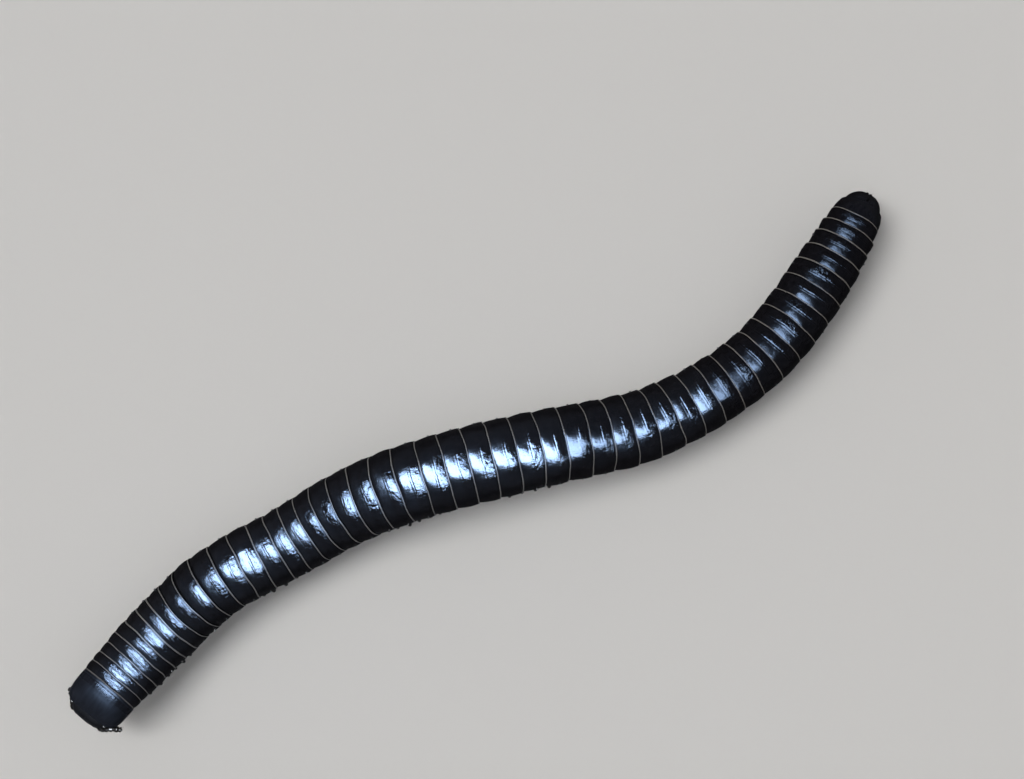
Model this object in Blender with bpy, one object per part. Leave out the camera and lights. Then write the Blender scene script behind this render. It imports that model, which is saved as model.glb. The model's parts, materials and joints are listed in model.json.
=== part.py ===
"""A long black millipede of the round-bodied kind, life size, standing on its legs.

Sizes are in millimetres and are turned into metres where a mesh is made. The row
frame has +X from head to tail along the body's chord, +Z up and the floor at z = 0.

A place on the animal is given as (along, left, up): the distance along the body's
axis from the front of the head, then the offsets to the animal's own left and up.
"""

import math
import random

import bmesh
import bpy
import numpy as np

MM = 0.001
SEED = 48

# The body's axis
BODY_LENGTH = 117.0
AXIS_STEP = 0.1
START_X = -55.504
START_Y = 2.332
START_HEIGHT = 8.15

# Direction of the axis towards the tail, in degrees from +X, at distances along it
TURN = (
    (0, 18.1), (9, 14.3), (18, 8.3), (27, -5.9), (36, -3.7), (45, -14.1), (54, -18.9),
    (63, -21.8), (72, -21.2), (81, -7.7), (90, 3.2), (99, 18.9), (108, 24.0), (117, 28.0),
)

# Degrees by which the axis climbs towards the head, at distances along it
CLIMB = (
    (0, 14.0), (10, 10.0), (13, 4.0), (18, -6.0), (22, -1.0), (27, 5.0), (32, -1.0),
    (37, -9.0), (42, -11.5), (46, -8.0), (50, -2.0), (57, 1.0), (64, 4.5), (69, 6.5),
    (75, 3.5), (82, 1.0), (117, 0.0),
)

# Rings, counted from the collum, which is ring 1
LAST_RING = 48
RING_EDGE = (
    (1, 4.6), (3, 7.05), (5, 9.75), (7, 13.2), (9, 16.9), (12, 23.3), (15, 30.3),
    (18, 37.1), (21, 44.5), (24, 52.35), (27, 60.5), (30, 68.95), (33, 77.2),
    (37, 87.8), (41, 98.2), (44, 105.6), (46, 109.9), (48, 113.3),
)
RING_RADIUS = (
    (1, 3.69), (4, 3.92), (8, 4.2), (12, 4.23), (16, 4.28), (20, 4.48), (25, 4.67),
    (29, 4.55), (33, 4.32), (37, 4.0), (41, 3.93), (44, 3.85), (46, 3.6), (48, 3.15),
)
RING_SIDES = 20
FRONT_STEP = 0.2
STEP_RUN = 0.02
BULGE = 0.03
BULGE_PLACE = 0.5
BELLY_FLATNESS = 0.94
RINGS_PER_LENGTH = 7
GAP = 0.3
SHARP_ANGLE = 35.0

# Legs
LAST_RING_WITH_LEGS = 47
LAST_RING_WITH_ONE_PAIR = 5
ONE_PAIR_PLACE = (0.55,)
TWO_PAIR_PLACES = (0.3, 0.78)
LEG_SIDES = 5
LEG_JOINTS = (0.0, 0.36, 0.64, 0.86, 1.0)
LEG_RADII = (0.38, 0.34, 0.3, 0.26, 0.14)
LEG_SPACING = 1.1
HIP_OUT = 0.2
HIP_SINK = 0.7
REACH_WAVE = 0.35
REACH_VARIATION = 0.12
STRIDE = 0.8
STRIDE_LENGTH = 17.0
STRIDE_START = 7.0
STRIDE_VARIATION = 0.08
SIDE_LAG = 1.66
THIGH_REACH = 0.5
THIGH_HEIGHT = 0.92
SHIN_REACH = 1.03
SHIN_HEIGHT = 0.62

# How far the feet stand outside the body's side, at distances along the axis
TIP_REACH = ((0, -0.6), (12, -0.55), (25, -0.45), (70, -0.45), (88, -1.0), (117, -1.35))

# Head, collum, eyes and antennae
HEAD_CENTRE = (2.75, 0.0, -0.95)
HEAD_HALF = (2.75, 2.75, 2.85)
HEAD_SQUARENESS = 2.9
HEAD_CHIN = 0.72
CHEEK_CENTRE = (2.9, 1.6, -2.2)
CHEEK_HALF = (1.4, 1.05, 1.3)
LIP_CENTRE = (1.15, 0.0, -3.05)
LIP_HALF = (0.75, 1.35, 0.85)
JAW_PLATE_CENTRE = (2.9, 0.0, -3.35)
JAW_PLATE_HALF = (1.7, 1.45, 0.65)
COLLUM_DOME_END = 0.35
COLLUM_SIDE_SQUARENESS = 3.8
COLLUM_TOP_SQUARENESS = 2.3
COLLUM_THICKNESS = 0.4
COLLUM_COLUMNS = 18
COLLUM_ROWS = 5
EYE_CENTRE = (1.15, 2.24, -0.05)
EYE_HALF = (0.5, 0.36, 0.5)
EYE_GAP = 0.2
ANTENNA_ROUTE = ((0.2, 2.05, -1.5), (0.1, 2.45, -2.5), (1.25, 2.55, -3.7), (1.85, 3.95, -2.9))
ARTICLE_ENDS = (0.0, 0.25, 0.43, 0.59, 0.74, 0.92, 1.0)
ARTICLE_NECK = 0.25
ARTICLE_RADII = (0.31, 0.31, 0.32, 0.33, 0.37, 0.3)
ARTICLE_SWELL = 0.75
ANTENNA_SIDES = 6

# Front edge of the collum: degrees down from the top, then the place along the axis
COLLUM_EDGE = ((0, 0.75), (40, 0.8), (65, 0.95), (80, 1.4), (92, 2.1), (104, 3.1), (114, 4.0))

# Telson: preanal ring, two anal valves and the subanal scale
VALVE_CENTRE = (114.85, 0.0, -0.2)
VALVE_HALF = (2.15, 2.3, 2.45)
PREANAL_LOOPS = 6
PREANAL_SQUARENESS = 2.1
PREANAL_END = 116.5
PREANAL_UNDERSIDE = -0.9
PREANAL_BACK = 114.9
SCALE_CENTRE = (114.7, 0.0, -2.75)
SCALE_HALF = (1.15, 1.1, 0.42)
VALVE_CUT_REACH = 3.0

# Long enough to clear the whole head or telson when a cutter is a block
CUTTER_REACH = 8.0

BLACK = (0.012, 0.012, 0.016)
SLATE_BLACK = (0.016, 0.018, 0.024)
LEG_BLACK = (0.01, 0.009, 0.009)
EYE_BLACK = (0.004, 0.004, 0.005)


def clear_scene():
    """Take every object out of the scene."""
    for thing in list(bpy.data.objects):
        bpy.data.objects.remove(thing)


def make_material(name, colour, roughness):
    """Return a plain material of one colour."""
    material = bpy.data.materials.new(name)
    material.use_nodes = True
    shader = material.node_tree.nodes["Principled BSDF"]
    shader.inputs["Base Color"].default_value = (*colour, 1.0)
    shader.inputs["Roughness"].default_value = roughness
    shader.inputs["Metallic"].default_value = 0.0
    return material


def smooth_value(table, place):
    """Read a smooth curve through a table of (place, value) pairs."""
    places = np.array([pair[0] for pair in table], dtype=float)
    values = np.array([pair[1] for pair in table], dtype=float)
    slopes = np.gradient(values, places)
    place = np.clip(place, places[0], places[-1])
    left = np.clip(np.searchsorted(places, place, side="right") - 1, 0, len(places) - 2)
    width = places[left + 1] - places[left]
    u = (place - places[left]) / width
    start = (1 + 2 * u) * (1 - u) ** 2 * values[left]
    leave = u * (1 - u) ** 2 * width * slopes[left]
    end = u * u * (3 - 2 * u) * values[left + 1]
    arrive = u * u * (u - 1) * width * slopes[left + 1]
    return start + leave + end + arrive


def heading_at(along):
    """Return the unit vector of the axis towards the tail."""
    turn = np.radians(smooth_value(TURN, along))
    climb = np.radians(smooth_value(CLIMB, along))
    flat = np.cos(climb)
    return np.stack([flat * np.cos(turn), flat * np.sin(turn), -np.sin(climb)], axis=-1)


def lay_axis():
    """Add up the axis in short steps from the head to the tail."""
    steps = int(round(BODY_LENGTH / AXIS_STEP))
    middles = (np.arange(steps) + 0.5) * AXIS_STEP
    start = np.array([[START_X, START_Y, START_HEIGHT]])
    moves = heading_at(middles) * AXIS_STEP
    return np.concatenate([start, start + np.cumsum(moves, axis=0)])


AXIS_POINTS = lay_axis()
AXIS_PLACES = np.arange(len(AXIS_POINTS)) * AXIS_STEP


def frame_at(along):
    """Return the axis point and the directions to the tail, left and up."""
    inside = min(max(along, 0.0), BODY_LENGTH)
    point = np.array([np.interp(inside, AXIS_PLACES, AXIS_POINTS[:, i]) for i in range(3)])
    tail = heading_at(inside)
    level = np.array([tail[1], -tail[0], 0.0])
    left = level / np.linalg.norm(level)
    up = np.cross(left, tail)
    return point + tail * (along - inside), tail, left, up


def at(along, left_by, up_by):
    """Return the world position, in millimetres, of a place on the animal."""
    point, _, left, up = frame_at(along)
    return point + left * left_by + up * up_by


def ring_edge(ring):
    """Return how far along the axis a ring ends."""
    return float(smooth_value(RING_EDGE, ring))


def ring_radius(ring):
    """Return the radius of a ring at its rear edge."""
    return float(smooth_value(RING_RADIUS, ring))


def closed_mesh(name, loops):
    """Join loops of equal length into one closed skin with flat ends."""
    mesh = bpy.data.meshes.new(name)
    skin = bmesh.new()
    rows = [[skin.verts.new([c * MM for c in point]) for point in loop] for loop in loops]
    count = len(rows[0])
    for first, second in zip(rows, rows[1:]):
        for i in range(count):
            j = (i + 1) % count
            skin.faces.new((first[i], first[j], second[j], second[i]))
    skin.faces.new(rows[0][::-1])
    skin.faces.new(rows[-1])
    bmesh.ops.recalc_face_normals(skin, faces=skin.faces[:])
    skin.to_mesh(mesh)
    skin.free()
    thing = bpy.data.objects.new(name, mesh)
    bpy.context.scene.collection.objects.link(thing)
    return thing


def body_loop(along, radius, squash=BELLY_FLATNESS):
    """Return one ring of points about the axis, a little flatter below."""
    loop = []
    for i in range(RING_SIDES):
        angle = math.tau * i / RING_SIDES
        height = math.sin(angle) * radius
        if height < 0:
            height *= squash
        loop.append(at(along, math.cos(angle) * radius, height))
    return loop


def rounded(value, power):
    """Return the height of a rounded profile whose run goes from 0 to 1."""
    return (1 - abs(value) ** power) ** (1 / power)


def egg(name, centre, half, power=2.0, chin=1.0, grow=0.0, rows=9, sides=16):
    """Make a rounded solid about a place, narrowed below where chin is under 1."""
    halves = [size + grow for size in half]
    loops = []
    for row in range(1, rows):
        along_share = -math.cos(math.pi * row / rows)
        ring = rounded(along_share, power)
        loop = []
        for i in range(sides):
            angle = math.tau * i / sides
            across = math.cos(angle)
            height = math.sin(angle)
            size = (abs(across) ** power + abs(height) ** power) ** (-1 / power)
            up_by = height * size * ring
            narrow = 1 + (chin - 1) * max(0.0, -up_by)
            loop.append(at(
                centre[0] + along_share * halves[0],
                centre[1] + across * size * ring * halves[1] * narrow,
                centre[2] + up_by * halves[2],
            ))
        loops.append(loop)
    return closed_mesh(name, loops)


def block(name, along, left_by, up_by):
    """Make a block between two limits on each of the animal's own directions."""
    loops = []
    for place in along:
        loops.append([
            at(place, left_by[0], up_by[0]), at(place, left_by[1], up_by[0]),
            at(place, left_by[1], up_by[1]), at(place, left_by[0], up_by[1]),
        ])
    return closed_mesh(name, loops)


def keep_largest(thing):
    """Keep only the largest closed surface of an object."""
    skin = bmesh.new()
    skin.from_mesh(thing.data)
    skin.verts.ensure_lookup_table()
    unseen = set(skin.verts)
    shells = []
    while unseen:
        front = [unseen.pop()]
        shell = list(front)
        while front:
            vertex = front.pop()
            for edge in vertex.link_edges:
                other = edge.other_vert(vertex)
                if other in unseen:
                    unseen.discard(other)
                    front.append(other)
                    shell.append(other)
        shells.append(shell)
    shells.sort(key=len)
    for shell in shells[:-1]:
        bmesh.ops.delete(skin, geom=shell, context="VERTS")
    skin.to_mesh(thing.data)
    skin.free()


def combine(thing, others, operation, solver="EXACT"):
    """Apply one Boolean with a group of closed objects, then remove them."""
    group = bpy.data.collections.new("pieces")
    for other in others:
        group.objects.link(other)
    step = thing.modifiers.new("combine", "BOOLEAN")
    step.operation = operation
    step.operand_type = "COLLECTION"
    step.collection = group
    step.solver = solver
    depsgraph = bpy.context.evaluated_depsgraph_get()
    result = bpy.data.meshes.new_from_object(thing.evaluated_get(depsgraph))
    thing.modifiers.remove(step)
    thing.data = result
    for other in others:
        bpy.data.objects.remove(other)
    bpy.data.collections.remove(group)
    keep_largest(thing)


def finish(thing, material):
    """Give an object its material and a smooth look with sharp edges kept."""
    thing.data.materials.clear()
    thing.data.materials.append(material)
    thing.data.shade_smooth()
    thing.data.set_sharp_from_angle(angle=math.radians(SHARP_ANGLE))


def bent_tube(name, points, radii, sides, flat_tip=False):
    """Make a tapered tube through a few points, its tip level where it stands."""
    points = [np.array(point) for point in points]
    loops = []
    across = None
    for i, (point, radius) in enumerate(zip(points, radii)):
        before = points[max(i - 1, 0)]
        after = points[min(i + 1, len(points) - 1)]
        run = (after - before) / np.linalg.norm(after - before)
        if across is None:
            across = np.cross(run, [0.0, 0.0, 1.0])
        across = across - run * np.dot(across, run)
        across = across / np.linalg.norm(across)
        other = np.cross(run, across)
        if flat_tip and i == len(points) - 1:
            level = across * [1.0, 1.0, 0.0]
            across = level / np.linalg.norm(level)
            other = np.cross([0.0, 0.0, -1.0], across)
        loop = []
        for k in range(sides):
            angle = math.tau * k / sides
            loop.append(point + (across * math.cos(angle) + other * math.sin(angle)) * radius)
        loops.append(loop)
    return closed_mesh(name, loops)


def bent_route(points, share):
    """Return the point at a share of the way along a curve with four guides."""
    start, leave, arrive, end = [np.array(point) for point in points]
    rest = 1 - share
    first = start * rest ** 3 + leave * 3 * rest * rest * share
    return first + arrive * 3 * rest * share * share + end * share ** 3


def leg_guides(ring, place, side, draw):
    """Return the hip, two guides and the tip that a leg's curve follows."""
    front = ring_edge(ring - 1)
    length = ring_edge(ring) - front
    along = front + length * place
    radius = ring_radius(ring)
    belly = -radius * BELLY_FLATNESS
    hip = at(along, side * HIP_OUT * radius, belly + HIP_SINK)
    phase = math.tau * (along - STRIDE_START) / STRIDE_LENGTH - (SIDE_LAG if side > 0 else 0.0)
    swing = STRIDE * math.sin(phase) + draw.uniform(-1, 1) * STRIDE_VARIATION
    reach = radius + float(smooth_value(TIP_REACH, along))
    reach += REACH_WAVE * math.cos(phase) + draw.uniform(-1, 1) * REACH_VARIATION
    tip = at(along + swing, side * reach, belly)
    tip[2] = 0.0
    out = tip - hip
    drop = hip[2] - HIP_SINK
    thigh = hip + out * THIGH_REACH
    thigh[2] = drop * THIGH_HEIGHT
    shin = hip + out * SHIN_REACH
    shin[2] = drop * SHIN_HEIGHT
    return hip, thigh, shin, tip


def leg(ring, place, side, draw):
    """Make one leg from inside the ring down to a small flat on the floor."""
    guides = leg_guides(ring, place, side, draw)
    length = ring_edge(ring) - ring_edge(ring - 1)
    pairs = 1 if ring <= LAST_RING_WITH_ONE_PAIR else 2
    slim = min(1.0, length / pairs / LEG_SPACING)
    radii = [size * slim for size in LEG_RADII]
    points = [bent_route(guides, share) for share in LEG_JOINTS]
    return bent_tube("leg", points, radii, LEG_SIDES, flat_tip=True)


def ring_loops(ring, first, last):
    """Return the three loops of one ring: front step, bulge and rear edge."""
    front = ring_edge(ring - 1) + (GAP / 2 if first else STEP_RUN)
    rear = ring_edge(ring) - (GAP / 2 if last else 0.0)
    radius = ring_radius(ring)
    middle = front + (rear - front) * BULGE_PLACE
    return [
        body_loop(front, ring_radius(ring - 1) - FRONT_STEP),
        body_loop(middle, radius + BULGE),
        body_loop(rear, radius),
    ]


def trunk_length(number, rings, material):
    """Make one length of trunk: its rings and all their legs as one solid."""
    loops = []
    for ring in rings:
        loops += ring_loops(ring, ring == rings[0], ring == rings[-1])
    body = closed_mesh(f"trunk_{number}", loops)
    draw = random.Random(SEED + number)
    legs = []
    for ring in rings:
        if ring > LAST_RING_WITH_LEGS:
            continue
        places = ONE_PAIR_PLACE if ring <= LAST_RING_WITH_ONE_PAIR else TWO_PAIR_PLACES
        for place in places:
            for side in (1, -1):
                legs.append(leg(ring, place, side, draw))
    combine(body, legs, "UNION")
    finish(body, material)


def dome_loops(start, end, radius, power, count):
    """Return loops of a dome that closes from a flat base towards its end."""
    loops = []
    for i in range(count):
        share = math.sin(0.5 * math.pi * i / count)
        along = start + (end - start) * share
        loops.append(body_loop(along, radius * rounded(share, power)))
    return loops


def collum_shell(name, grow=0.0, reach=0.0):
    """Make the curved shield over the head, or the larger room it needs."""
    rear = ring_edge(1) - GAP / 2
    lowest = COLLUM_EDGE[-1][0] + math.degrees(grow / ring_radius(1))
    loops = []
    for column in range(COLLUM_COLUMNS + 1):
        turn = lowest * (2 * column / COLLUM_COLUMNS - 1)
        front = float(smooth_value(COLLUM_EDGE, abs(turn))) - grow
        across = math.sin(math.radians(turn))
        height = math.cos(math.radians(turn))
        height *= BELLY_FLATNESS if height < 0 else 1.0
        outer = []
        inner = []
        for row in range(COLLUM_ROWS + 1):
            along = rear + grow + (front - rear - grow) * math.sin(0.5 * math.pi * row / COLLUM_ROWS)
            share = min(max((rear - along) / (rear - COLLUM_DOME_END), 0.0), 1.0)
            wide = ring_radius(1) * rounded(share, COLLUM_SIDE_SQUARENESS)
            high = ring_radius(1) * rounded(share, COLLUM_TOP_SQUARENESS)
            outer.append(at(along, across * (wide + reach), height * (high + reach)))
            wide = max(wide - COLLUM_THICKNESS - grow, COLLUM_THICKNESS)
            high = max(high - COLLUM_THICKNESS - grow, COLLUM_THICKNESS)
            inner.append(at(along, across * wide, height * high))
        loops.append(outer + inner[::-1])
    return closed_mesh(name, loops)


def make_collum(material):
    """Make the shield behind and over the head."""
    finish(collum_shell("collum"), material)


def make_head(material):
    """Make the head with cheeks, lip and jaw plate, and room for the collum and eyes."""
    head = egg("head", HEAD_CENTRE, HEAD_HALF, HEAD_SQUARENESS, HEAD_CHIN)
    parts = [
        egg("lip", LIP_CENTRE, LIP_HALF, rows=6, sides=10),
        egg("jaw_plate", JAW_PLATE_CENTRE, JAW_PLATE_HALF, rows=6, sides=10),
    ]
    for side in (1, -1):
        centre = (CHEEK_CENTRE[0], side * CHEEK_CENTRE[1], CHEEK_CENTRE[2])
        parts.append(egg("cheek", centre, CHEEK_HALF, rows=6, sides=10))
    combine(head, parts, "UNION")
    seats = []
    for side in (1, -1):
        centre = (EYE_CENTRE[0], side * EYE_CENTRE[1], EYE_CENTRE[2])
        seats.append(egg("seat", centre, EYE_HALF, grow=EYE_GAP, rows=6, sides=10))
    wide = (-CUTTER_REACH, CUTTER_REACH)
    neck = block("neck", (ring_edge(1) - GAP / 2, CUTTER_REACH), wide, wide)
    combine(head, seats, "DIFFERENCE")
    combine(head, [neck], "DIFFERENCE")
    combine(head, [collum_shell("room", GAP, CUTTER_REACH)], "DIFFERENCE")
    finish(head, material)


def make_eyes(material):
    """Make the two oval patches of eyelets."""
    for name, side in (("eye_left", 1), ("eye_right", -1)):
        centre = (EYE_CENTRE[0], side * EYE_CENTRE[1], EYE_CENTRE[2])
        finish(egg(name, centre, EYE_HALF, rows=6, sides=10), material)


def make_antennae(material):
    """Make the two short antennae, bent back round the cheeks."""
    for name, side in (("antenna_left", 1), ("antenna_right", -1)):
        guides = [at(along, side * left_by, up_by) for along, left_by, up_by in ANTENNA_ROUTE]
        points = [bent_route(guides, 0.0)]
        radii = [ARTICLE_NECK]
        for i, radius in enumerate(ARTICLE_RADII):
            start, end = ARTICLE_ENDS[i], ARTICLE_ENDS[i + 1]
            points.append(bent_route(guides, start + (end - start) * ARTICLE_SWELL))
            points.append(bent_route(guides, end))
            radii += [radius, ARTICLE_NECK]
        finish(bent_tube(name, points, radii, ANTENNA_SIDES), material)


def make_telson(material):
    """Make the preanal ring, the two valves behind it and the scale below."""
    front = ring_edge(LAST_RING) + GAP / 2
    radius = ring_radius(LAST_RING) - FRONT_STEP
    loops = dome_loops(front, PREANAL_END, radius, PREANAL_SQUARENESS, PREANAL_LOOPS)
    ring = closed_mesh("preanal_ring", loops)
    wide = (-CUTTER_REACH, CUTTER_REACH)
    room = egg("room", VALVE_CENTRE, VALVE_HALF, grow=GAP)
    seat = egg("seat", SCALE_CENTRE, SCALE_HALF, grow=GAP, rows=6, sides=10)
    below = block("below", (PREANAL_BACK, BODY_LENGTH + CUTTER_REACH), wide,
                  (-CUTTER_REACH, PREANAL_UNDERSIDE))
    for cutter in (room, seat, below):
        combine(ring, [cutter], "DIFFERENCE")
    finish(ring, material)
    for name, side in (("anal_valve_left", 1), ("anal_valve_right", -1)):
        valve = egg(name, VALVE_CENTRE, VALVE_HALF)
        span = sorted((side * GAP / 2, -side * CUTTER_REACH))
        first = VALVE_CENTRE[0] - VALVE_CUT_REACH
        last = VALVE_CENTRE[0] + VALVE_CUT_REACH
        other_half = block("half", (first, last), span, wide)
        front_part = block("front", (first, front + GAP), wide, wide)
        combine(valve, [other_half], "DIFFERENCE")
        combine(valve, [front_part], "DIFFERENCE")
        finish(valve, material)
    scale = egg("subanal_scale", SCALE_CENTRE, SCALE_HALF, rows=6, sides=10)
    room = egg("room", VALVE_CENTRE, VALVE_HALF, grow=GAP)
    combine(scale, [room], "DIFFERENCE")
    finish(scale, material)


def main():
    """Build the whole animal."""
    clear_scene()
    shell = make_material("shell_black", BLACK, 0.25)
    slate = make_material("slate_black", SLATE_BLACK, 0.45)
    leg_finish = make_material("leg_black", LEG_BLACK, 0.35)
    eye_finish = make_material("eye_black", EYE_BLACK, 0.12)
    make_head(slate)
    make_eyes(eye_finish)
    make_antennae(leg_finish)
    make_collum(slate)
    first = 2
    number = 1
    while first <= LAST_RING:
        last = min(first + RINGS_PER_LENGTH - 1, LAST_RING)
        trunk_length(number, list(range(first, last + 1)), shell)
        first = last + 1
        number += 1
    make_telson(shell)


main()
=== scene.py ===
"""Looks of a life-size black millipede: rings, legs, head, antennae and telson.

Lengths are in millimetres in the tables and are turned into metres in the meshes.
A place on the animal is (along, left, up): the distance along its axis from the
front of the head, then the offsets to its own left and up.
"""

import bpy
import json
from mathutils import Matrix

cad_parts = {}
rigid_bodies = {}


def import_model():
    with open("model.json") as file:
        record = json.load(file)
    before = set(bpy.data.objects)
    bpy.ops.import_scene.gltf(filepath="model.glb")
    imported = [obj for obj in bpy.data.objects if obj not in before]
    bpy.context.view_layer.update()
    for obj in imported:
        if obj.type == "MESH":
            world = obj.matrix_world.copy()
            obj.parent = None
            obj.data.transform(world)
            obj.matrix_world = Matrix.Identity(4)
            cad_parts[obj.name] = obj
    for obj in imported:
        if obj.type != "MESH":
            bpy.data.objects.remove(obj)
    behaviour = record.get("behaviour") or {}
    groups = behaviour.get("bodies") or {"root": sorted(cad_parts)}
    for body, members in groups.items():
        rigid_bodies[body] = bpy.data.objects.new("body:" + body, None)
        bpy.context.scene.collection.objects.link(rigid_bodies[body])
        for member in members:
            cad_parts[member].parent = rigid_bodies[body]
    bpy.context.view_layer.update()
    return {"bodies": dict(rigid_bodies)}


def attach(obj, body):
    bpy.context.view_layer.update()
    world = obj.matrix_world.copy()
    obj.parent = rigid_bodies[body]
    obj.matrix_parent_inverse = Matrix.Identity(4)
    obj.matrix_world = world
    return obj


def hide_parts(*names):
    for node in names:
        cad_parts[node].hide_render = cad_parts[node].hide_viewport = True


bl_info = {
    "name": "Millipede finish",
    "version": (1, 0, 0),
    "blender": (4, 5, 0),
    "location": "3D View > Sidebar > Millipede",
    "description": "Builds the detailed rings, legs, head and telson of a black millipede",
    "category": "Object",
}

import json
import math
import random

import bpy
import numpy as np
from mathutils import Matrix, Vector

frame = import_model()
BODY = next(iter(frame["bodies"]))

MM = 0.001
SEED = 48
UPWARDS = np.array([0.0, 0.0, 1.0])

# The body's axis
BODY_LENGTH = 117.0
AXIS_STEP = 0.1
AXIS_START = (-55.504, 2.332, 8.15)
TURN = (
    (0, 18.1), (9, 14.3), (18, 8.3), (27, -5.9), (36, -3.7), (45, -14.1), (54, -18.9),
    (63, -21.8), (72, -21.2), (81, -7.7), (90, 3.2), (99, 18.9), (108, 24.0), (117, 28.0),
)
CLIMB = (
    (0, 14.0), (10, 10.0), (13, 4.0), (18, -6.0), (22, -1.0), (27, 5.0), (32, -1.0),
    (37, -9.0), (42, -11.5), (46, -8.0), (50, -2.0), (57, 1.0), (64, 4.5), (69, 6.5),
    (75, 3.5), (82, 1.0), (117, 0.0),
)

# Rings, counted from the collum, which is ring 1
LAST_RING = 48
RING_EDGE = (
    (1, 4.6), (3, 7.05), (5, 9.75), (7, 13.2), (9, 16.9), (12, 23.3), (15, 30.3),
    (18, 37.1), (21, 44.5), (24, 52.35), (27, 60.5), (30, 68.95), (33, 77.2),
    (37, 87.8), (41, 98.2), (44, 105.6), (46, 109.9), (48, 113.3),
)
RING_RADIUS = (
    (1, 3.69), (4, 3.92), (8, 4.2), (12, 4.23), (16, 4.28), (20, 4.48), (25, 4.67),
    (29, 4.55), (33, 4.32), (37, 4.0), (41, 3.93), (44, 3.85), (46, 3.6), (48, 3.15),
)
# How many degrees a ring leans forward out of the line of the axis
RING_LEAN = (
    (1, 0.0), (7, 0.0), (9, 1.1), (10, 1.9), (11, 2.1), (12, 1.3), (14, 0.0), (15, 0.0),
    (17, 1.3), (18, 2.1), (19, 2.3), (20, 1.6), (22, 0.0), (48, 0.0),
)
RINGS_PER_LENGTH = 7
BELLY_FLATNESS = 0.94

# Profile of one ring: place between its front (0) and the start of its rim, height in radii
RING_FRONT = (
    (-0.22, -0.094), (-0.10, -0.060), (-0.01, -0.0380), (0.05, -0.0310), (0.12, -0.0236),
    (0.20, -0.0162), (0.28, -0.0102), (0.35, -0.0058), (0.42, -0.0026), (0.475, -0.0008),
    (0.490, -0.0022), (0.500, -0.0033), (0.512, -0.0030), (0.530, 0.0004), (0.58, 0.0022),
    (0.66, 0.0030), (0.74, 0.0027), (0.82, 0.0012), (0.885, -0.0010), (0.92, -0.0030),
)
RING_FRONT_END = 0.94
# Profile of the rim: place across it from 0 to 1, height in radii
RING_RIM = (
    (-0.42, -0.0062), (-0.2, -0.0098), (-0.06, -0.0090), (0.02, -0.0030), (0.18, 0.0006),
    (0.5, 0.0012), (0.85, 0.0), (1.0, -0.005),
)
# How far the rim's profile starts in front of the rim, in widths of the rim
RING_RIM_FRONT = 0.42
RING_INSIDE = ((0.97, -0.017), (0.80, -0.03), (0.30, -0.09), (-0.10, -0.15), (-0.22, -0.13))
RIM_WIDTH = 0.15
RING_SIDES = 128
# Waves in the rings' surface and edges: their size in metres, and the change of seed
# from one length of trunk to the next
UNEVENNESS_SIZE = 0.0014
WOBBLE_SIZE = 0.0028
SEED_STEP = 7.3

# Gland openings on the sides of the rings: the degrees are above the side
FIRST_RING_WITH_PORES = 6
PORE_PLACE = 0.62
PORE_DEGREES = 7.0
PORE_REACH = 1.006
PORE_RADIUS = 0.13

# Legs
LAST_RING_WITH_LEGS = 47
LAST_RING_WITH_ONE_PAIR = 5
ONE_PAIR_PLACE = (0.55,)
TWO_PAIR_PLACES = (0.3, 0.78)
LEG_SPACING = 1.1
HIP_OUT = 0.2
HIP_SINK = 0.7
TIP_REACH = ((0, -0.6), (12, -0.55), (25, -0.45), (70, -0.45), (88, -1.0), (117, -1.35))
REACH_WAVE = 0.35
REACH_VARIATION = 0.12
STRIDE = 0.8
STRIDE_LENGTH = 17.0
STRIDE_START = 7.0
STRIDE_VARIATION = 0.08
SIDE_LAG = 1.66
THIGH_REACH = 0.5
THIGH_HEIGHT = 0.92
SHIN_REACH = 1.03
SHIN_HEIGHT = 0.62
TIP_HEIGHT = 0.03
# Pieces from coxa to claw: shape, end along the leg, radius, stretch over the next piece,
# and hairs as (place along the leg, radius there)
LEG_PIECES = (
    ("limb", 0.17, 0.42, 1.05, ()),
    ("limb", 0.37, 0.38, 1.05, ((0.34, 0.38),)),
    ("limb", 0.54, 0.35, 1.05, ((0.51, 0.35),)),
    ("limb", 0.68, 0.32, 1.05, ((0.65, 0.32),)),
    ("limb", 0.82, 0.29, 1.05, ((0.79, 0.29),)),
    ("tarsus", 0.955, 0.25, 1.02, ((0.86, 0.19), (0.91, 0.19))),
    ("claw", 1.0, 0.11, 1.0, ()),
)
LEG_HAIR_DEPTH = 0.8
LEG_HAIR_LEAN = 0.8
STERNITE_LENGTH = 0.86
STERNITE_HALF = (1.35, 0.26)
STERNITE_RISE = 0.02

# Small parts: sides, then (run, radius) pairs in shares of the part's length and width
SMALL_SHAPES = {
    "limb": (10, ((0.0, 0.66), (0.12, 0.84), (0.45, 0.93), (0.82, 1.0), (0.97, 0.9), (1.03, 0.66))),
    "tarsus": (10, ((0.0, 0.72), (0.1, 0.95), (0.35, 0.98), (0.7, 0.72), (0.97, 0.45))),
    "claw": (8, ((0.0, 1.0), (0.2, 0.9), (0.4, 0.72), (0.6, 0.5), (0.8, 0.28), (1.0, 0.08))),
    "bristle": (4, ((0.0, 0.05), (0.35, 0.042), (0.7, 0.027), (1.0, 0.008))),
    "pore": (12, ((-0.6, 0.9), (0.0, 1.0), (0.34, 0.86), (0.42, 0.66), (0.3, 0.48), (-0.3, 0.34))),
    "sternite": (16, ((-0.5, 0.55), (-0.38, 0.84), (-0.1, 0.97), (0.14, 1.0), (0.3, 0.92), (0.44, 0.7))),
    "eyelet": (12, ((-0.3, 0.98), (0.15, 1.0), (0.5, 0.85), (0.78, 0.55), (0.92, 0.2))),
}
SMALL_BENDS = {
    "claw": lambda run: 0.12 * math.sin(math.pi * run),
    "bristle": lambda run: 0.12 * run * run,
}

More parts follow.
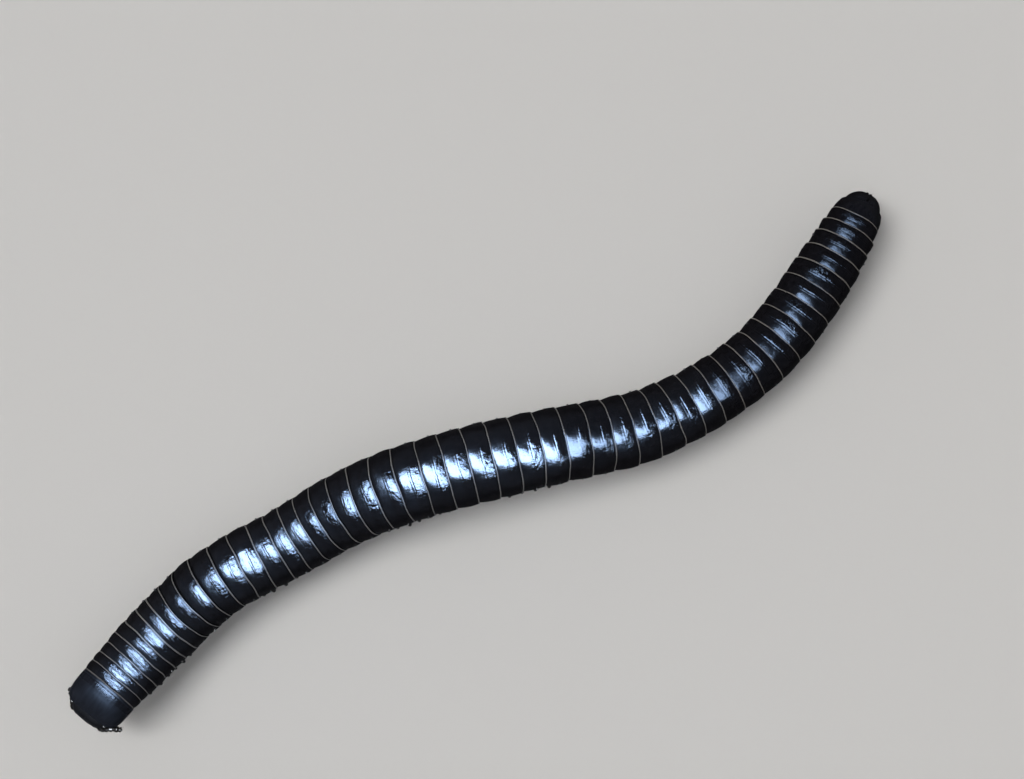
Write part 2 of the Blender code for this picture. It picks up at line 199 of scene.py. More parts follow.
# Head: eggs that are blended into one form
HEAD_CENTRE = (2.75, 0.0, -0.95)
HEAD_HALF = (2.75, 2.75, 2.85)
HEAD_SQUARENESS = 2.9
HEAD_CHIN = 0.72
HEAD_STEPS = 72
CHEEK_CENTRE = (2.9, 1.6, -2.2)
CHEEK_HALF = (1.4, 1.05, 1.3)
LIP_CENTRE = (1.15, 0.0, -3.05)
LIP_HALF = (0.75, 1.35, 0.85)
JAW_PLATE_CENTRE = (2.9, 0.0, -3.35)
JAW_PLATE_HALF = (1.7, 1.45, 0.65)
CHEEK_BLEND = 0.08
LIP_BLEND = 0.22
# Carving of the head: half width and height of each line, seam, notch or rise
BROW_LINE = (0.07, -0.05)
LIP_SEAM = (0.14, -0.06)
LIP_NOTCH = (0.34, -0.22)
JAW_SEAM = (0.06, -0.06)
CHEEK_SEAM = (0.07, -0.06)
ORBIT_LINE = (0.12, -0.07)
# Teeth of the lip: place to the left, half width, height
LIP_TEETH = ((0.0, 0.07, 0.07), (0.17, 0.055, 0.06), (-0.17, 0.055, 0.06))
# Where the carving lies: a ramp's pair leads from none to the full depth
FRONT_RAMP = (1.9, 1.1)
BROW_RAMP = (-0.9, -0.1)
LIP_SEAM_UP = -2.25
LIP_SEAM_BOW = 0.12
LIP_SEAM_RAMP = (1.5, 1.2)
LIP_UP_RAMP = (-3.2, -3.55)
LIP_ALONG_RAMP = (1.7, 1.3)
UNDER_RAMP = (-3.15, -3.45)
JAW_FRONT_RAMP = (1.7, 1.9)
JAW_REAR_RAMP = (3.0, 2.8)
JAW_SEAM_PLACE = (2.4, 0.42)
JAW_SEAM_SPREAD = 0.16
CHEEK_LEFT_RAMP = (1.2, 1.4)
CHEEK_UP_RAMP = (-1.2, -1.5)
CHEEK_SEAM_PLACE = (2.55, -2.2)
CHEEK_SEAM_SLOPE = 0.45
ORBIT_RADIUS = 1.05
ORBIT_RAMP = (1.0, 2.0)
SOCKET_CENTRE = (1.2, 1.66, -1.2)
SOCKET_RADIUS = 0.29
SOCKET_DEPTH = 0.16
SOCKET_RIM_RADIUS = 0.42
SOCKET_RIM = (0.09, 0.07)
# Hairs of the head: rays from its centre, and their lengths
HEAD_HAIRS = (
    [((-1.75, k * 0.155, -2.75), 0.42) for k in range(-7, 8)]
    + [((-2.1, k * 0.36, -1.9), 0.5) for k in (-2.5, -1.5, -0.5, 0.5, 1.5, 2.5)]
    + [((0.1 + k * 0.35, side * 0.75, -2.6), 0.3) for side in (1, -1) for k in range(5)]
)
HEAD_HAIR_OUT = 0.9
HEAD_HAIR_FORWARD = 0.45
HEAD_HAIR_DOWN = 0.5
HEAD_HAIR_SINK = 0.02
HEAD_HAIR_WIDTH = 0.8

# Neck skin: radius at its front, then how it narrows, folds and reaches into the head
NECK_RADIUS = 3.15
NECK_THICKNESS = 0.15
NECK_TAPER = 0.75
NECK_FOLD = 0.1
NECK_FOLDS = 1.5
NECK_OVERLAP = 0.35
NECK_ROWS, NECK_SIDES = 9, 64

# Eyes
EYE_CENTRE = (1.15, 2.2, -0.05)
EYE_HALF = (0.52, 0.272, 0.5)
ORBIT_HALF = (0.62, 0.6)
EYELET_PITCH = 0.165
EYELET_ROW_PITCH = 0.87
EYELET_RADIUS = 0.078
EYELET_LIMIT = 0.8
EYE_ROWS, EYE_SIDES = 24, 48

# Antennae: where they run, and each article's start, end and radius
ANTENNA_ROUTE = ((0.62, 1.62, -1.15), (-0.05, 2.25, -2.35), (1.25, 2.5, -3.75), (1.85, 3.95, -2.9))
ARTICLES = (
    (0.0, 0.11, 0.31), (0.095, 0.26, 0.31), (0.245, 0.43, 0.32), (0.415, 0.59, 0.33),
    (0.575, 0.74, 0.34), (0.725, 0.92, 0.37), (0.905, 0.985, 0.31), (0.965, 1.0, 0.2),
)
ARTICLE_ROWS = 14
ARTICLE_NECK = 0.62
ARTICLE_SHOULDER = 0.8
ARTICLE_CLOSE = 0.75
ARTICLE_ROOT = 0.45
ARTICLE_ROOT_RUN = 0.12
ARTICLE_SIDES = 24
# Hairs of an article: where they may stand, how deep and how far they lean, their size
HAIRS_PER_ARTICLE = 6
ARTICLE_HAIR_PLACES = (0.3, 0.85)
ARTICLE_HAIR_DEPTH = 0.85
ARTICLE_HAIR_LEAN = 0.9
ARTICLE_HAIR_SIZE = (0.24, 0.18)
# Cones at the antenna's tip: how far along and how wide
CONE_PROFILE = ((0.0, 0.045), (0.07, 0.038), (0.13, 0.015))
CONE_SPREAD = 0.075
CONE_SINK = 0.04
CONES, CONE_SIDES = 4, 10

# Collum: degrees down from the top, then the front edge's place along the axis
COLLUM_EDGE = ((0, 0.75), (40, 0.8), (65, 0.95), (80, 1.4), (92, 2.1), (104, 3.1), (114, 4.0))
COLLUM_DOME_END = 0.35
COLLUM_SIDE_SQUARENESS = 3.8
COLLUM_TOP_SQUARENESS = 1.95
COLLUM_TUCK = 0.05
COLLUM_TUCK_WIDTH = 0.12
COLLUM_ROWS, COLLUM_COLUMNS = 56, 144
# Thickness of a plate at its fixed edge and further on, and the run of that change
COLLUM_THICKNESS = (0.12, 0.3)
PREANAL_THICKNESS = (0.35, 0.2)
THICKNESS_RUN = 1.2
# Raised margin of a plate, with a groove beside it, and its height
MARGIN = ((0.1, 0.09, 1.0), (0.32, 0.1, -0.7))
COLLUM_MARGIN = 0.035
PREANAL_MARGIN = 0.03

# Telson
PREANAL_EDGE = ((0, 115.45), (35, 115.2), (90, 114.95), (140, 114.4), (180, 114.2))
PREANAL_START = -0.4
PREANAL_END = 116.5
PREANAL_STEP = 0.1
PREANAL_SQUARENESS = 2.1
PREANAL_ROWS, PREANAL_COLUMNS = 40, 128
VALVE_CENTRE = (114.85, 0.0, -0.2)
VALVE_HALF = (2.15, 2.254, 2.45)
VALVE_GAP = 0.05
VALVE_LIP = ((0.11, 0.035, 0.09), (0.2, 0.04, -0.05))
VALVE_FACE_LIP = 0.02
VALVE_ROWS, VALVE_SIDES = 41, 96
# Hairs of a valve: degrees above the tail, lean outwards, place, length and width
VALVE_HAIRS = (-60, -42, -24, -6, 12)
VALVE_HAIR_LEAN = 0.35
VALVE_HAIR_LEFT = 0.3
VALVE_HAIR_SIZE = (0.4, 0.3)
SCALE_CENTRE = (114.7, 0.0, -2.75)
SCALE_HALF = (1.15, 1.1, 0.336)
SCALE_SQUARENESS = 2.2
SCALE_TAPER = 0.35
SCALE_ROWS, SCALE_SIDES = 24, 40

# Finishes of the plates: their gloss lies on the swollen rear part, from the given place
# between a plate's front edge (0) and rear edge (1), and the pale rim starts after it
# Shine of each length of trunk, head to tail; the lower shine of the last three lengths is painted shade:
# duller copies of the ring finish that stand in for shade over the tail
RING_SHINE_AND_TAIL_SHADE = (0.34, 0.34, 0.34, 0.34, 0.22, 0.1, 0.07)
TELSON_SHINE = 0.18
COLLUM_SHINE = 0.13
PLATE_TINT = (0.5, 0.68, 1.0, 1.0)
RING_ROUGHNESS = (0.19, 0.125)
COLLUM_ROUGHNESS = (0.36, 0.12)
RING_GLOSS_START = 0.4
COLLUM_GLOSS_START = 0.74
RIM_START = 0.94
COLLUM_RIM_START = 0.972
COLLUM_FRONT_RIM = 0.8
COLLUM_RELIEF = 0.6
RIM_ROUGHNESS = 0.25
# Painted shade: a near-black band in the groove just in front of each pale rim, where the rim's step casts
# shade
GROOVE_SHADE_COLOUR = (0.001, 0.001, 0.001)
GROOVE_SHADE_BEFORE_RIM = 0.012
GROOVE_SHADE_WIDTH = 0.02
GLOSS_RISE = 0.15
GLOSS_FALL = (0.9, 0.93)
RIM_RISE = 0.01
UNEVEN_ROUGHNESS = 0.05
# Grain of the plates, in millimetres round and along the body, and its change by ring
GIRTH = 26.5
RING_RUN = 2.6
FLESH_STEP = 3.7
STREAK_STRETCH = 0.35
STREAK_STEP = 1.9
# Relief of the plates, in wrinkle depths, and the share of it on their front part
UNEVEN_HEIGHT = 8.0
WRINKLE_HEIGHT = 4.5
GRAIN_HEIGHT = 2.1
PIT_DEPTH = 0.35
FURROW_HEIGHT = 0.8
FURROW_PITCH = 0.42
FRONT_RELIEF = 0.35
# Mottling of the plates: how much lighter, and where the grain is light
MOTTLE = (1.6, 0.0005)
MOTTLE_RISE = (0.35, 0.75)
# How strongly the painted groove shade darkens the plate, and how pale the rim is
GROOVE_SHADE_STRENGTH = 0.9
RIM_PALENESS = 0.72
# Gloss of the limbs, the head and the eyes, and the relief of two of them in metres
LIMB_GLOSS = {"Specular IOR Level": 0.25, "Coat Weight": 0.15, "Coat Roughness": 0.16}
LIMB_RELIEF = 0.000004
HEAD_GLOSS = {
    "Specular IOR Level": 0.2, "Coat Weight": 0.04, "Coat Roughness": 0.16,
    "Specular Tint": (0.7, 0.82, 1.0, 1.0),
}
HEAD_RELIEF = 0.000007
EYE_GLOSS = {"Coat Weight": 0.8, "Coat Roughness": 0.05}
# Small parts: colour, roughness, grains to a metre
SMALL_FINISHES = {
    "pore brown": ((0.02, 0.015, 0.012), 0.3, 3000.0),
    "belly brown": ((0.012, 0.01, 0.009), 0.42, 1500.0),
    "neck brown": ((0.03, 0.02, 0.016), 0.5, 1500.0),
    "eye black": ((0.006, 0.006, 0.008), 0.12, 2000.0, EYE_GLOSS),
}
BRISTLE_ROUGHNESS = 0.45
BRISTLE_GRAIN = 3000.0

# Floor, world, camera and lights
FLOOR_HALF = 4.0
FLOOR_LOOKS = {"Base Color": (0.6, 0.59, 0.57, 1.0), "Roughness": 0.9, "Specular IOR Level": 0.1}
WORLD_ABOVE = (0.335, 0.33, 0.335)
WORLD_BELOW = (0.03, 0.03, 0.032)
WORLD_EDGE = (-0.35, 0.25)
CAMERA_PLACE = (-6.9, -4.37, 206.7)
CAMERA_TARGET = (7.3, 6.46, 5.5)
CAMERA_UP = (0.559, 0.829, 0.084)
CAMERA_LENS = 59.2
CAMERA_SENSOR = 36.0
CAMERA_CLIP = (0.005, 20.0)
# The glint is the patch of sky that the back mirrors, and the sky lights the floor
GLINT_PLACE = (-34.5, -6.0, 206.0)
GLINT_TURN = 16.0
GLINT_SIZE = (103.0, 320.0)
GLINT_POWER = 6.8
GLINT_COLOUR = (0.86, 0.93, 1.0)
SKY_AIM = (0.35, -0.3, -1.0)
SKY_ANGLE = 30.0
SKY_STRENGTH = 1.9


def smooth_value(table, place):
    """Read a smooth curve through a table of (place, value) pairs."""
    places, values = np.array(table, dtype=float).T
    slopes = np.gradient(values, places)
    place = np.clip(place, places[0], places[-1])
    left = np.clip(np.searchsorted(places, place, side="right") - 1, 0, len(places) - 2)
    width = places[left + 1] - places[left]
    u = (place - places[left]) / width
    start = (1 + 2 * u) * (1 - u) ** 2 * values[left]
    leave = u * (1 - u) ** 2 * width * slopes[left]
    end = u * u * (3 - 2 * u) * values[left + 1]
    arrive = u * u * (u - 1) * width * slopes[left + 1]
    return start + leave + end + arrive


def heading_at(along):
    """Return the unit vector of the axis towards the tail."""
    turn = np.radians(smooth_value(TURN, along))
    climb = np.radians(smooth_value(CLIMB, along))
    flat = np.cos(climb)
    return np.stack([flat * np.cos(turn), flat * np.sin(turn), -np.sin(climb)], axis=-1)


def lay_axis():
    """Add up the axis in short steps from the head to the tail."""
    steps = int(round(BODY_LENGTH / AXIS_STEP))
    middles = (np.arange(steps) + 0.5) * AXIS_STEP
    start = np.array([AXIS_START])
    moves = heading_at(middles) * AXIS_STEP
    return np.concatenate([start, start + np.cumsum(moves, axis=0)])


AXIS_POINTS = lay_axis()
AXIS_PLACES = np.arange(len(AXIS_POINTS)) * AXIS_STEP


def unit(vector):
    """Return a vector at length one."""
    return vector / np.linalg.norm(vector)


def frame_at(along):
    """Return the axis point and the directions to the tail, left and up."""
    inside = min(max(along, 0.0), BODY_LENGTH)
    point = np.array([np.interp(inside, AXIS_PLACES, AXIS_POINTS[:, i]) for i in range(3)])
    tail = heading_at(inside)
    left = unit(np.array([tail[1], -tail[0], 0.0]))
    return point + tail * (along - inside), tail, left, np.cross(left, tail)


def at(along, left_by, up_by):
    """Return the world position, in millimetres, of a place on the animal."""
    point, _, left, up = frame_at(along)
    return point + left * left_by + up * up_by


def placed(loops):
    """Move loops of places on the animal to where they are in the world."""
    return [[at(*place) for place in loop] for loop in loops]


def ring_edge(ring):
    """Return how far along the axis a ring ends."""
    return float(smooth_value(RING_EDGE, ring))


def ring_length(ring):
    """Return how far a ring reaches along the axis."""
    return ring_edge(ring) - ring_edge(ring - 1)


def ring_radius(ring):
    """Return the radius of a ring at its rear edge."""
    return float(smooth_value(RING_RADIUS, ring))


def rounded(value, power):
    """Return the height of a rounded profile whose run goes from 0 to 1."""
    return (1 - min(abs(value), 1.0) ** power) ** (1 / power)


def flattened(height):
    """Press in the heights that lie on the belly's side."""
    return np.where(height < 0, height * BELLY_FLATNESS, height)


def ramp(value, start, end):
    """Rise from 0 at one value to 1 at another."""
    return np.clip((value - start) / (end - start), 0, 1)


def ridge(distance, width, height):
    """Return a soft rise, or a groove where the height is negative."""
    return height * np.exp(-(distance / width) ** 2)


def ridges(value, table):
    """Add up rises and grooves from a table of their places, half widths and heights."""
    return sum(ridge(value - place, width, height) for place, width, height in table)


def bent_route(points, share):
    """Return the point at a share of the way along a curve with four guides."""
    start, leave, arrive, end = [np.array(point) for point in points]
    rest = 1 - share
    first = start * rest ** 3 + leave * 3 * rest * rest * share
    return first + arrive * 3 * rest * share * share + end * share ** 3


# Meshes

def circle(centre, first, second, sides):
    """Return a loop of points round a centre, on two half axes."""
    turns = math.tau * np.arange(sides)[:, None] / sides
    return np.array(centre) + np.cos(turns) * np.array(first) + np.sin(turns) * np.array(second)


def loft(name, loops, ends="point", across=None, through=None):
    """Skin closed loops of points, given in millimetres, with outward faces.

    The ends are points, flat faces or open. across and through are the texture
    places of the columns and of the rows.
    """
    grid = np.array(loops, dtype=float)
    rows, columns = grid.shape[:2]
    if across is None:
        across = np.arange(columns + 1) / columns
    if through is None:
        through = np.arange(rows) / (rows - 1)
    through = np.array(through)
    if through.ndim == 1:
        through = through[:, None]
    marks = np.stack(np.broadcast_arrays(across, through), axis=-1)
    points = list(grid.reshape(-1, 3))

    def corner(row, column):
        """Return a corner's point and its texture place."""
        return row * columns + column % columns, marks[row, column]

    faces = [
        [corner(i, j), corner(i, j + 1), corner(i + 1, j + 1), corner(i + 1, j)]
        for i in range(rows - 1) for j in range(columns)
    ]
    if ends == "flat":
        faces.append([corner(0, j) for j in reversed(range(columns))])
        faces.append([corner(rows - 1, j) for j in range(columns)])
    if ends == "point":
        for row, order in ((0, -1), (rows - 1, 1)):
            tip = len(points)
            points.append(grid[row].mean(axis=0))
            for j in range(columns):
                pair = [corner(row, j), corner(row, j + 1)]
                faces.append(pair[::order] + [(tip, marks[row, j])])
    here = grid - grid.mean(axis=(0, 1))
    beside = np.roll(here, -1, axis=1)
    crossed = np.cross(beside[:-1], beside[1:]) + np.cross(beside[1:], here[1:])
    if (here[:-1] * crossed).sum() < 0:
        faces = [face[::-1] for face in faces]
    mesh = bpy.data.meshes.new(name)
    mesh.from_pydata([tuple(point * MM) for point in points], [],
                     [[number for number, _ in face] for face in faces])
    spots = [value for face in faces for _, mark in face for value in mark]
    mesh.uv_layers.new(name="UVMap").data.foreach_set("uv", spots)
    mesh.shade_smooth()
    mesh.update()
    return mesh


def spindle(kind):
    """Turn a small part's profile about the X axis, which some parts bend upwards."""
    sides, profile = SMALL_SHAPES[kind]
    bend = SMALL_BENDS.get(kind, lambda run: 0.0)
    loops = [circle((run, 0, bend(run)), (0, radius, 0), (0, 0, radius), sides) for run, radius in profile]
    return loft(f"{kind} shape", loops)


def tube(name, centres, radii, sides):
    """Skin a round tube through a row of centres."""
    loops = []
    across = np.cross(centres[1] - centres[0], UPWARDS)
    for i, (centre, radius) in enumerate(zip(centres, radii)):
        run = unit(centres[min(i + 1, len(centres) - 1)] - centres[max(i - 1, 0)])
        across = unit(across - run * np.dot(across, run))
        loops.append(circle(centre, across * radius, np.cross(run, across) * radius, sides))
    return loft(name, loops)


def thing_of(mesh):
    """Put a mesh into the scene as an object of the same name."""
    thing = bpy.data.objects.new(mesh.name, mesh)
    bpy.context.scene.collection.objects.link(thing)
    return thing


def dressed(mesh, finish):
    """Give a mesh its finish."""
    mesh.materials.append(finish)
    return mesh


def merged(meshes):
    """Join several meshes into one."""
    things = [thing_of(mesh) for mesh in meshes]
    with bpy.context.temp_override(active_object=things[0], selected_editable_objects=things):
        bpy.ops.object.join()
    mesh = things[0].data
    bpy.data.objects.remove(things[0])
    return mesh


def keep(mesh, name, slot, *nodes):
    """Make a finished piece of a mesh on its body, and hide the nodes it stands for; slot is not used."""
    mesh.name = name
    piece = thing_of(mesh)
    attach(piece, BODY)
    if nodes:
        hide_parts(*nodes)


# Node trees

class Value:
    """One output of a node, used in a sum as if it were a number."""

    def __init__(self, tree, socket):
        self.tree = tree
        self.socket = socket

    def worked(self, operation, *terms):
        """Return the result of one Math node."""
        node = self.tree.nodes.new("ShaderNodeMath")
        node.operation = operation
        for slot, term in zip(node.inputs, terms):
            if isinstance(term, Value):
                self.tree.links.new(term.socket, slot)
            else:
                slot.default_value = term
        return Value(self.tree, node.outputs[0])

    def __add__(self, other):
        return self.worked("ADD", self, other)

    __radd__ = __add__

    def __sub__(self, other):
        return self.worked("SUBTRACT", self, other)

    def __rsub__(self, other):
        return self.worked("SUBTRACT", other, self)

    def __mul__(self, other):
        return self.worked("MULTIPLY", self, other)

    __rmul__ = __mul__

    def __truediv__(self, other):
        return self.worked("DIVIDE", self, other)

    def __rtruediv__(self, other):
        return self.worked("DIVIDE", other, self)

    def limited(self):
        """Keep the value between 0 and 1."""
        return self.worked("MINIMUM", self.worked("MAXIMUM", self, 0.0), 1.0)

    def past(self, start, end):
        """Rise from 0 at one value to 1 at another."""
        return ((self - start) / (end - start)).limited()

    def near(self, centre, reach):
        """Return 1 at a value, falling to 0 at a distance from it."""
        return (1.0 - self.worked("ABSOLUTE", self - centre) / reach).limited()

    def wave(self):
        """Return the sine."""
        return self.worked("SINE", self)


class Wiring:
    """A node tree that is put together one node at a time."""

    def __init__(self, tree):
        self.tree = tree

    def node(self, kind, settings=None, sockets=None):
        """Add a node: its settings first, then the values and links of its sockets."""
        node = self.tree.nodes.new(kind)
        for key, setting in (settings or {}).items():
            setattr(node, key, setting)
        for key, value in (sockets or {}).items():
            if isinstance(value, Value):
                self.tree.links.new(value.socket, node.inputs[key])
            else:
                node.inputs[key].default_value = value
        return node

    def value(self, kind, settings=None, sockets=None, out=0):
        """Add a node and return one of its outputs."""
        return Value(self.tree, self.node(kind, settings, sockets).outputs[out])

    def parts(self, vector):
        """Return the three parts of a vector."""
        node = self.node("ShaderNodeSeparateXYZ", None, {0: vector})
        return [Value(self.tree, socket) for socket in node.outputs]

    def vector(self, *parts):
        """Return a vector of three parts."""
        return self.value("ShaderNodeCombineXYZ", None, dict(enumerate(parts)))

    def vector_maths(self, operation, first, second):
        """Return the result of one Vector Math node, where a scale is the second term."""
        other = "Scale" if operation == "SCALE" else 1
        return self.value("ShaderNodeVectorMath", {"operation": operation}, {0: first, other: second})

    def mix(self, factor, first, second):
        """Mix two colours."""
        first = first if isinstance(first, Value) else (*first, 1.0)
        second = second if isinstance(second, Value) else (*second, 1.0)
        return self.value("ShaderNodeMix", {"data_type": "RGBA"},
                          {"Factor": factor, 6: first, 7: second}, 2)

    def noise(self, place, scale, detail=2.0, roughness=0.5):
        """Return a noise value at a place."""
        return self.value("ShaderNodeTexNoise", None,
                          {"Vector": place, "Scale": scale, "Detail": detail, "Roughness": roughness})

    def pits(self, place, scale, width):
        """Return small round pits: 1 at the middle of each, 0 between them."""
        distance = self.value("ShaderNodeTexVoronoi", {"feature": "F1"}, {"Vector": place, "Scale": scale})
        return (1.0 - distance * width).limited()


class Finish(Wiring):
    """A new material: constants go straight to its shader's own sockets."""

    def __init__(self, name, constants):
        self.material = bpy.data.materials.new(name)
        self.material.use_nodes = True
        super().__init__(self.material.node_tree)
        self.shader = self.tree.nodes["Principled BSDF"]
        for key, value in constants.items():
            self.shader.inputs[key].default_value = value

    def feed(self, key, value):
        """Link a value to a socket of the shader."""
        self.tree.links.new(value.socket, self.shader.inputs[key])

    def relief(self, height, depth):
        """Turn a height into relief, where a height of 1 is a depth in metres."""
        normal = self.value("ShaderNodeBump", None, {"Strength": 1.0, "Distance": depth, "Height": height})
        self.feed("Normal", normal)

    def solid_place(self):
        """Return the place in the object, for grain that isn't laid out by texture."""
        return self.value("ShaderNodeTexCoord", out=3)


def shaded(colour, factor, lift=0.0):
    """Return a colour made lighter or darker."""
    return tuple(part * factor + lift for part in colour)


def plate_finish(name, sizes, black, shine, roughness, relief=1.0, rim_start=RIM_START,
                 gloss_start=RING_GLOSS_START, front_rim=0.0):
    """Return the finish of the rings, the collum or the telson.

    The texture place runs once round the body in U, and from a plate's front edge (0)
    to its rear edge (1) in V. The rear edge is pale from rim_start, with painted shade in the
    groove in front of it, and front_rim is the strength of a pale line along the lower front edge.
    """
    front_rough, rear_rough = roughness
    finish = Finish(name, {"Specular IOR Level": shine, "Specular Tint": PLATE_TINT})
    round_by, rearward, _ = finish.parts(finish.value("ShaderNodeUVMap", {"uv_map": "UVMap"}))
    ring = finish.value("ShaderNodeAttribute", {"attribute_name": "ring"}, out=2)
    girth = round_by * GIRTH
    run = (rearward + ring) * RING_RUN
    flesh = finish.vector(girth, run, ring * FLESH_STEP)
    streaks = finish.vector(girth, run * STREAK_STRETCH, ring * STREAK_STEP)
    uneven = finish.noise(flesh, scale=1.4, detail=1.0)
    wrinkles = finish.noise(streaks, scale=4.0, roughness=0.6)
    grain = finish.noise(flesh, scale=7.0, roughness=0.6)
    pits = finish.pits(flesh, scale=3.2, width=3.0)
    lower_side = (round_by.near(0.25, 0.12) + round_by.near(0.75, 0.12)).limited()
    furrows = (girth * (math.tau / FURROW_PITCH)).wave() * lower_side

    rear_lobe = rearward.past(gloss_start, gloss_start + GLOSS_RISE) * (1.0 - rearward.past(*GLOSS_FALL))
    height = uneven * UNEVEN_HEIGHT + wrinkles * WRINKLE_HEIGHT + grain * GRAIN_HEIGHT
    height = height * (rear_lobe * (1.0 - FRONT_RELIEF) + FRONT_RELIEF)
    height = height + (furrows * FURROW_HEIGHT - pits * PIT_DEPTH) * rear_lobe
    finish.relief(height, sizes.wrinkle_depth * relief)

    colour = finish.mix(uneven.past(*MOTTLE_RISE), black, shaded(black, *MOTTLE))
    # Painted shade: darken the groove in front of the rim towards near black
    groove_shade = rearward.near(rim_start - GROOVE_SHADE_BEFORE_RIM, GROOVE_SHADE_WIDTH)
    colour = finish.mix(groove_shade * GROOVE_SHADE_STRENGTH, colour, GROOVE_SHADE_COLOUR)
    rim = rearward.past(rim_start, rim_start + RIM_RISE)
    pale = rim * (RIM_PALENESS + (1.0 - RIM_PALENESS) * grain.past(0.3, 0.6))
    if front_rim > 0:
        side = (1.0 - round_by.near(0.5, 0.3)).past(0.5, 0.9)
        pale = pale + (1.0 - rearward.past(0.02, 0.035)) * side * front_rim
    finish.feed("Base Color", finish.mix(pale.limited(), colour, sizes.rim_colour))

    rough = front_rough + (rear_rough - front_rough) * rear_lobe + UNEVEN_ROUGHNESS * (uneven - 0.5)
    finish.feed("Roughness", rough + RIM_ROUGHNESS * rim)
    return finish.material


def limb_finish(name, black, brown):
    """Return the shiny finish of legs and antennae, browner at each joint."""
    finish = Finish(name, LIMB_GLOSS)
    _, run, _ = finish.parts(finish.value("ShaderNodeUVMap", {"uv_map": "UVMap"}))
    solid = finish.solid_place()
    mottle = finish.noise(solid, scale=1800.0)
    joint = run.past(0.86, 0.98) + (1.0 - run.past(0.02, 0.12))
    finish.feed("Base Color", finish.mix((joint * 0.7 + mottle * 0.25).limited(), black, brown))
    finish.feed("Roughness", 0.24 + 0.2 * mottle)
    finish.relief(finish.noise(solid, scale=6000.0), LIMB_RELIEF)
    return finish.material


def head_finish(name, black):
    """Return the satin finish of the head, with fine leathery grain."""
    finish = Finish(name, HEAD_GLOSS)
    solid = finish.solid_place()
    broad = finish.noise(solid, scale=500.0)
    fine = finish.noise(solid, scale=4500.0, detail=3.0, roughness=0.6)
    pits = finish.pits(solid, scale=2600.0, width=3.2)
    finish.relief(fine * 0.6 - pits * 0.5 + broad * 0.6, HEAD_RELIEF)
    finish.feed("Base Color", finish.mix(broad.past(0.4, 0.7), black, shaded(black, 1.8, 0.001)))
    finish.feed("Roughness", 0.3 + 0.2 * broad)
    return finish.material


def plain_finish(name, colour, roughness, scale, constants=None):
    """Return a finish of one colour with slight mottling, for small parts."""
    finish = Finish(name, constants or {})
    mottle = finish.noise(finish.solid_place(), scale)
    finish.feed("Base Color", finish.mix(mottle, shaded(colour, 0.7), shaded(colour, 1.3)))
    finish.feed("Roughness", roughness + 0.1 * (mottle - 0.5))
    return finish.material


def finish_of(name, maker, *looks):
    """Return a finish by name, made on first use."""
    return bpy.data.materials.get(name) or maker(name, *looks)


def ring_finish(sizes, shine=TELSON_SHINE):
    """Return the finish of the rings, by default that of the telson."""
    return finish_of(f"ring black {shine}", plate_finish, sizes, sizes.shell_colour, shine, RING_ROUGHNESS)


def collum_finish(sizes):
    """Return the finish of the collum."""
    return finish_of("collum slate", plate_finish, sizes, sizes.collum_colour, COLLUM_SHINE,
                     COLLUM_ROUGHNESS, COLLUM_RELIEF, COLLUM_RIM_START, COLLUM_GLOSS_START,
                     COLLUM_FRONT_RIM)


def leg_finish(sizes):
    """Return the finish of the legs and antennae."""
    return finish_of("limb black", limb_finish, sizes.leg_colour, sizes.joint_colour)


def bristle_finish(sizes):
    """Return the finish of the hairs."""
    return finish_of("bristle brown", plain_finish, sizes.bristle_colour, BRISTLE_ROUGHNESS, BRISTLE_GRAIN)


def small_finish(name):
    """Return the finish of a small part."""
    return finish_of(name, plain_finish, *SMALL_FINISHES[name])


# Copies on points

def copies_tree():
    """Build the tree that puts copies of one shape on a set of points."""
    tree = bpy.data.node_groups.new("copies on points", "GeometryNodeTree")
    for label, kind in (("Geometry", "Geometry"), ("Shape", "Object"), ("Finish", "Material")):
        tree.interface.new_socket(label, in_out="INPUT", socket_type=f"NodeSocket{kind}")
    for label, value in (("Unevenness", 0.0), ("Unevenness Size", 1.0), ("Wobble", 0.0),
                         ("Wobble Size", 1.0), ("Seed", 0.0)):
        socket = tree.interface.new_socket(label, in_out="INPUT", socket_type="NodeSocketFloat")
        socket.default_value = value
    tree.interface.new_socket("Geometry", in_out="OUTPUT", socket_type="NodeSocketGeometry")
    wiring = Wiring(tree)
    source = wiring.node("NodeGroupInput")
    given = {socket.name: Value(tree, socket) for socket in source.outputs if socket.name}
    shape = wiring.value("GeometryNodeObjectInfo", None, {"Object": given["Shape"]}, "Geometry")
    turn, size = [
        wiring.value("GeometryNodeInputNamedAttribute", {"data_type": "FLOAT_VECTOR"}, {"Name": label})
        for label in ("turn", "size")
    ]
    copies_there = wiring.value("GeometryNodeInstanceOnPoints", None, {
        "Points": given["Geometry"], "Instance": shape, "Scale": size,
        "Rotation": wiring.value("FunctionNodeEulerToRotation", None, {0: turn}),
    })
    solid = wiring.value("GeometryNodeRealizeInstances", None, {"Geometry": copies_there})
    place = wiring.value("GeometryNodeInputPosition")
    swell = wiring.value("ShaderNodeTexNoise", {"noise_dimensions": "4D"}, {
        "Vector": place, "W": given["Seed"], "Scale": 1.0 / given["Unevenness Size"], "Detail": 1.0,
    })
    push = (swell - 0.5) * 2.0 * given["Unevenness"]
    offset = wiring.vector_maths("SCALE", wiring.value("GeometryNodeInputNormal"), push)
    drift = wiring.value("ShaderNodeTexNoise", None, {
        "Vector": place, "Scale": 1.0 / given["Wobble Size"], "Detail": 0.0,
    }, 1)
    wobble = wiring.vector_maths("SUBTRACT", drift, (0.5, 0.5, 0.5))
    wobble = wiring.vector_maths("SCALE", wobble, given["Wobble"])
    moved = wiring.value("GeometryNodeSetPosition", None, {
        "Geometry": solid, "Offset": wiring.vector_maths("ADD", offset, wobble),
    })
    finished = wiring.value("GeometryNodeSetMaterial", None, {
        "Geometry": moved, "Material": given["Finish"],
    })
    wiring.node("NodeGroupOutput", None, {0: finished})
    return tree


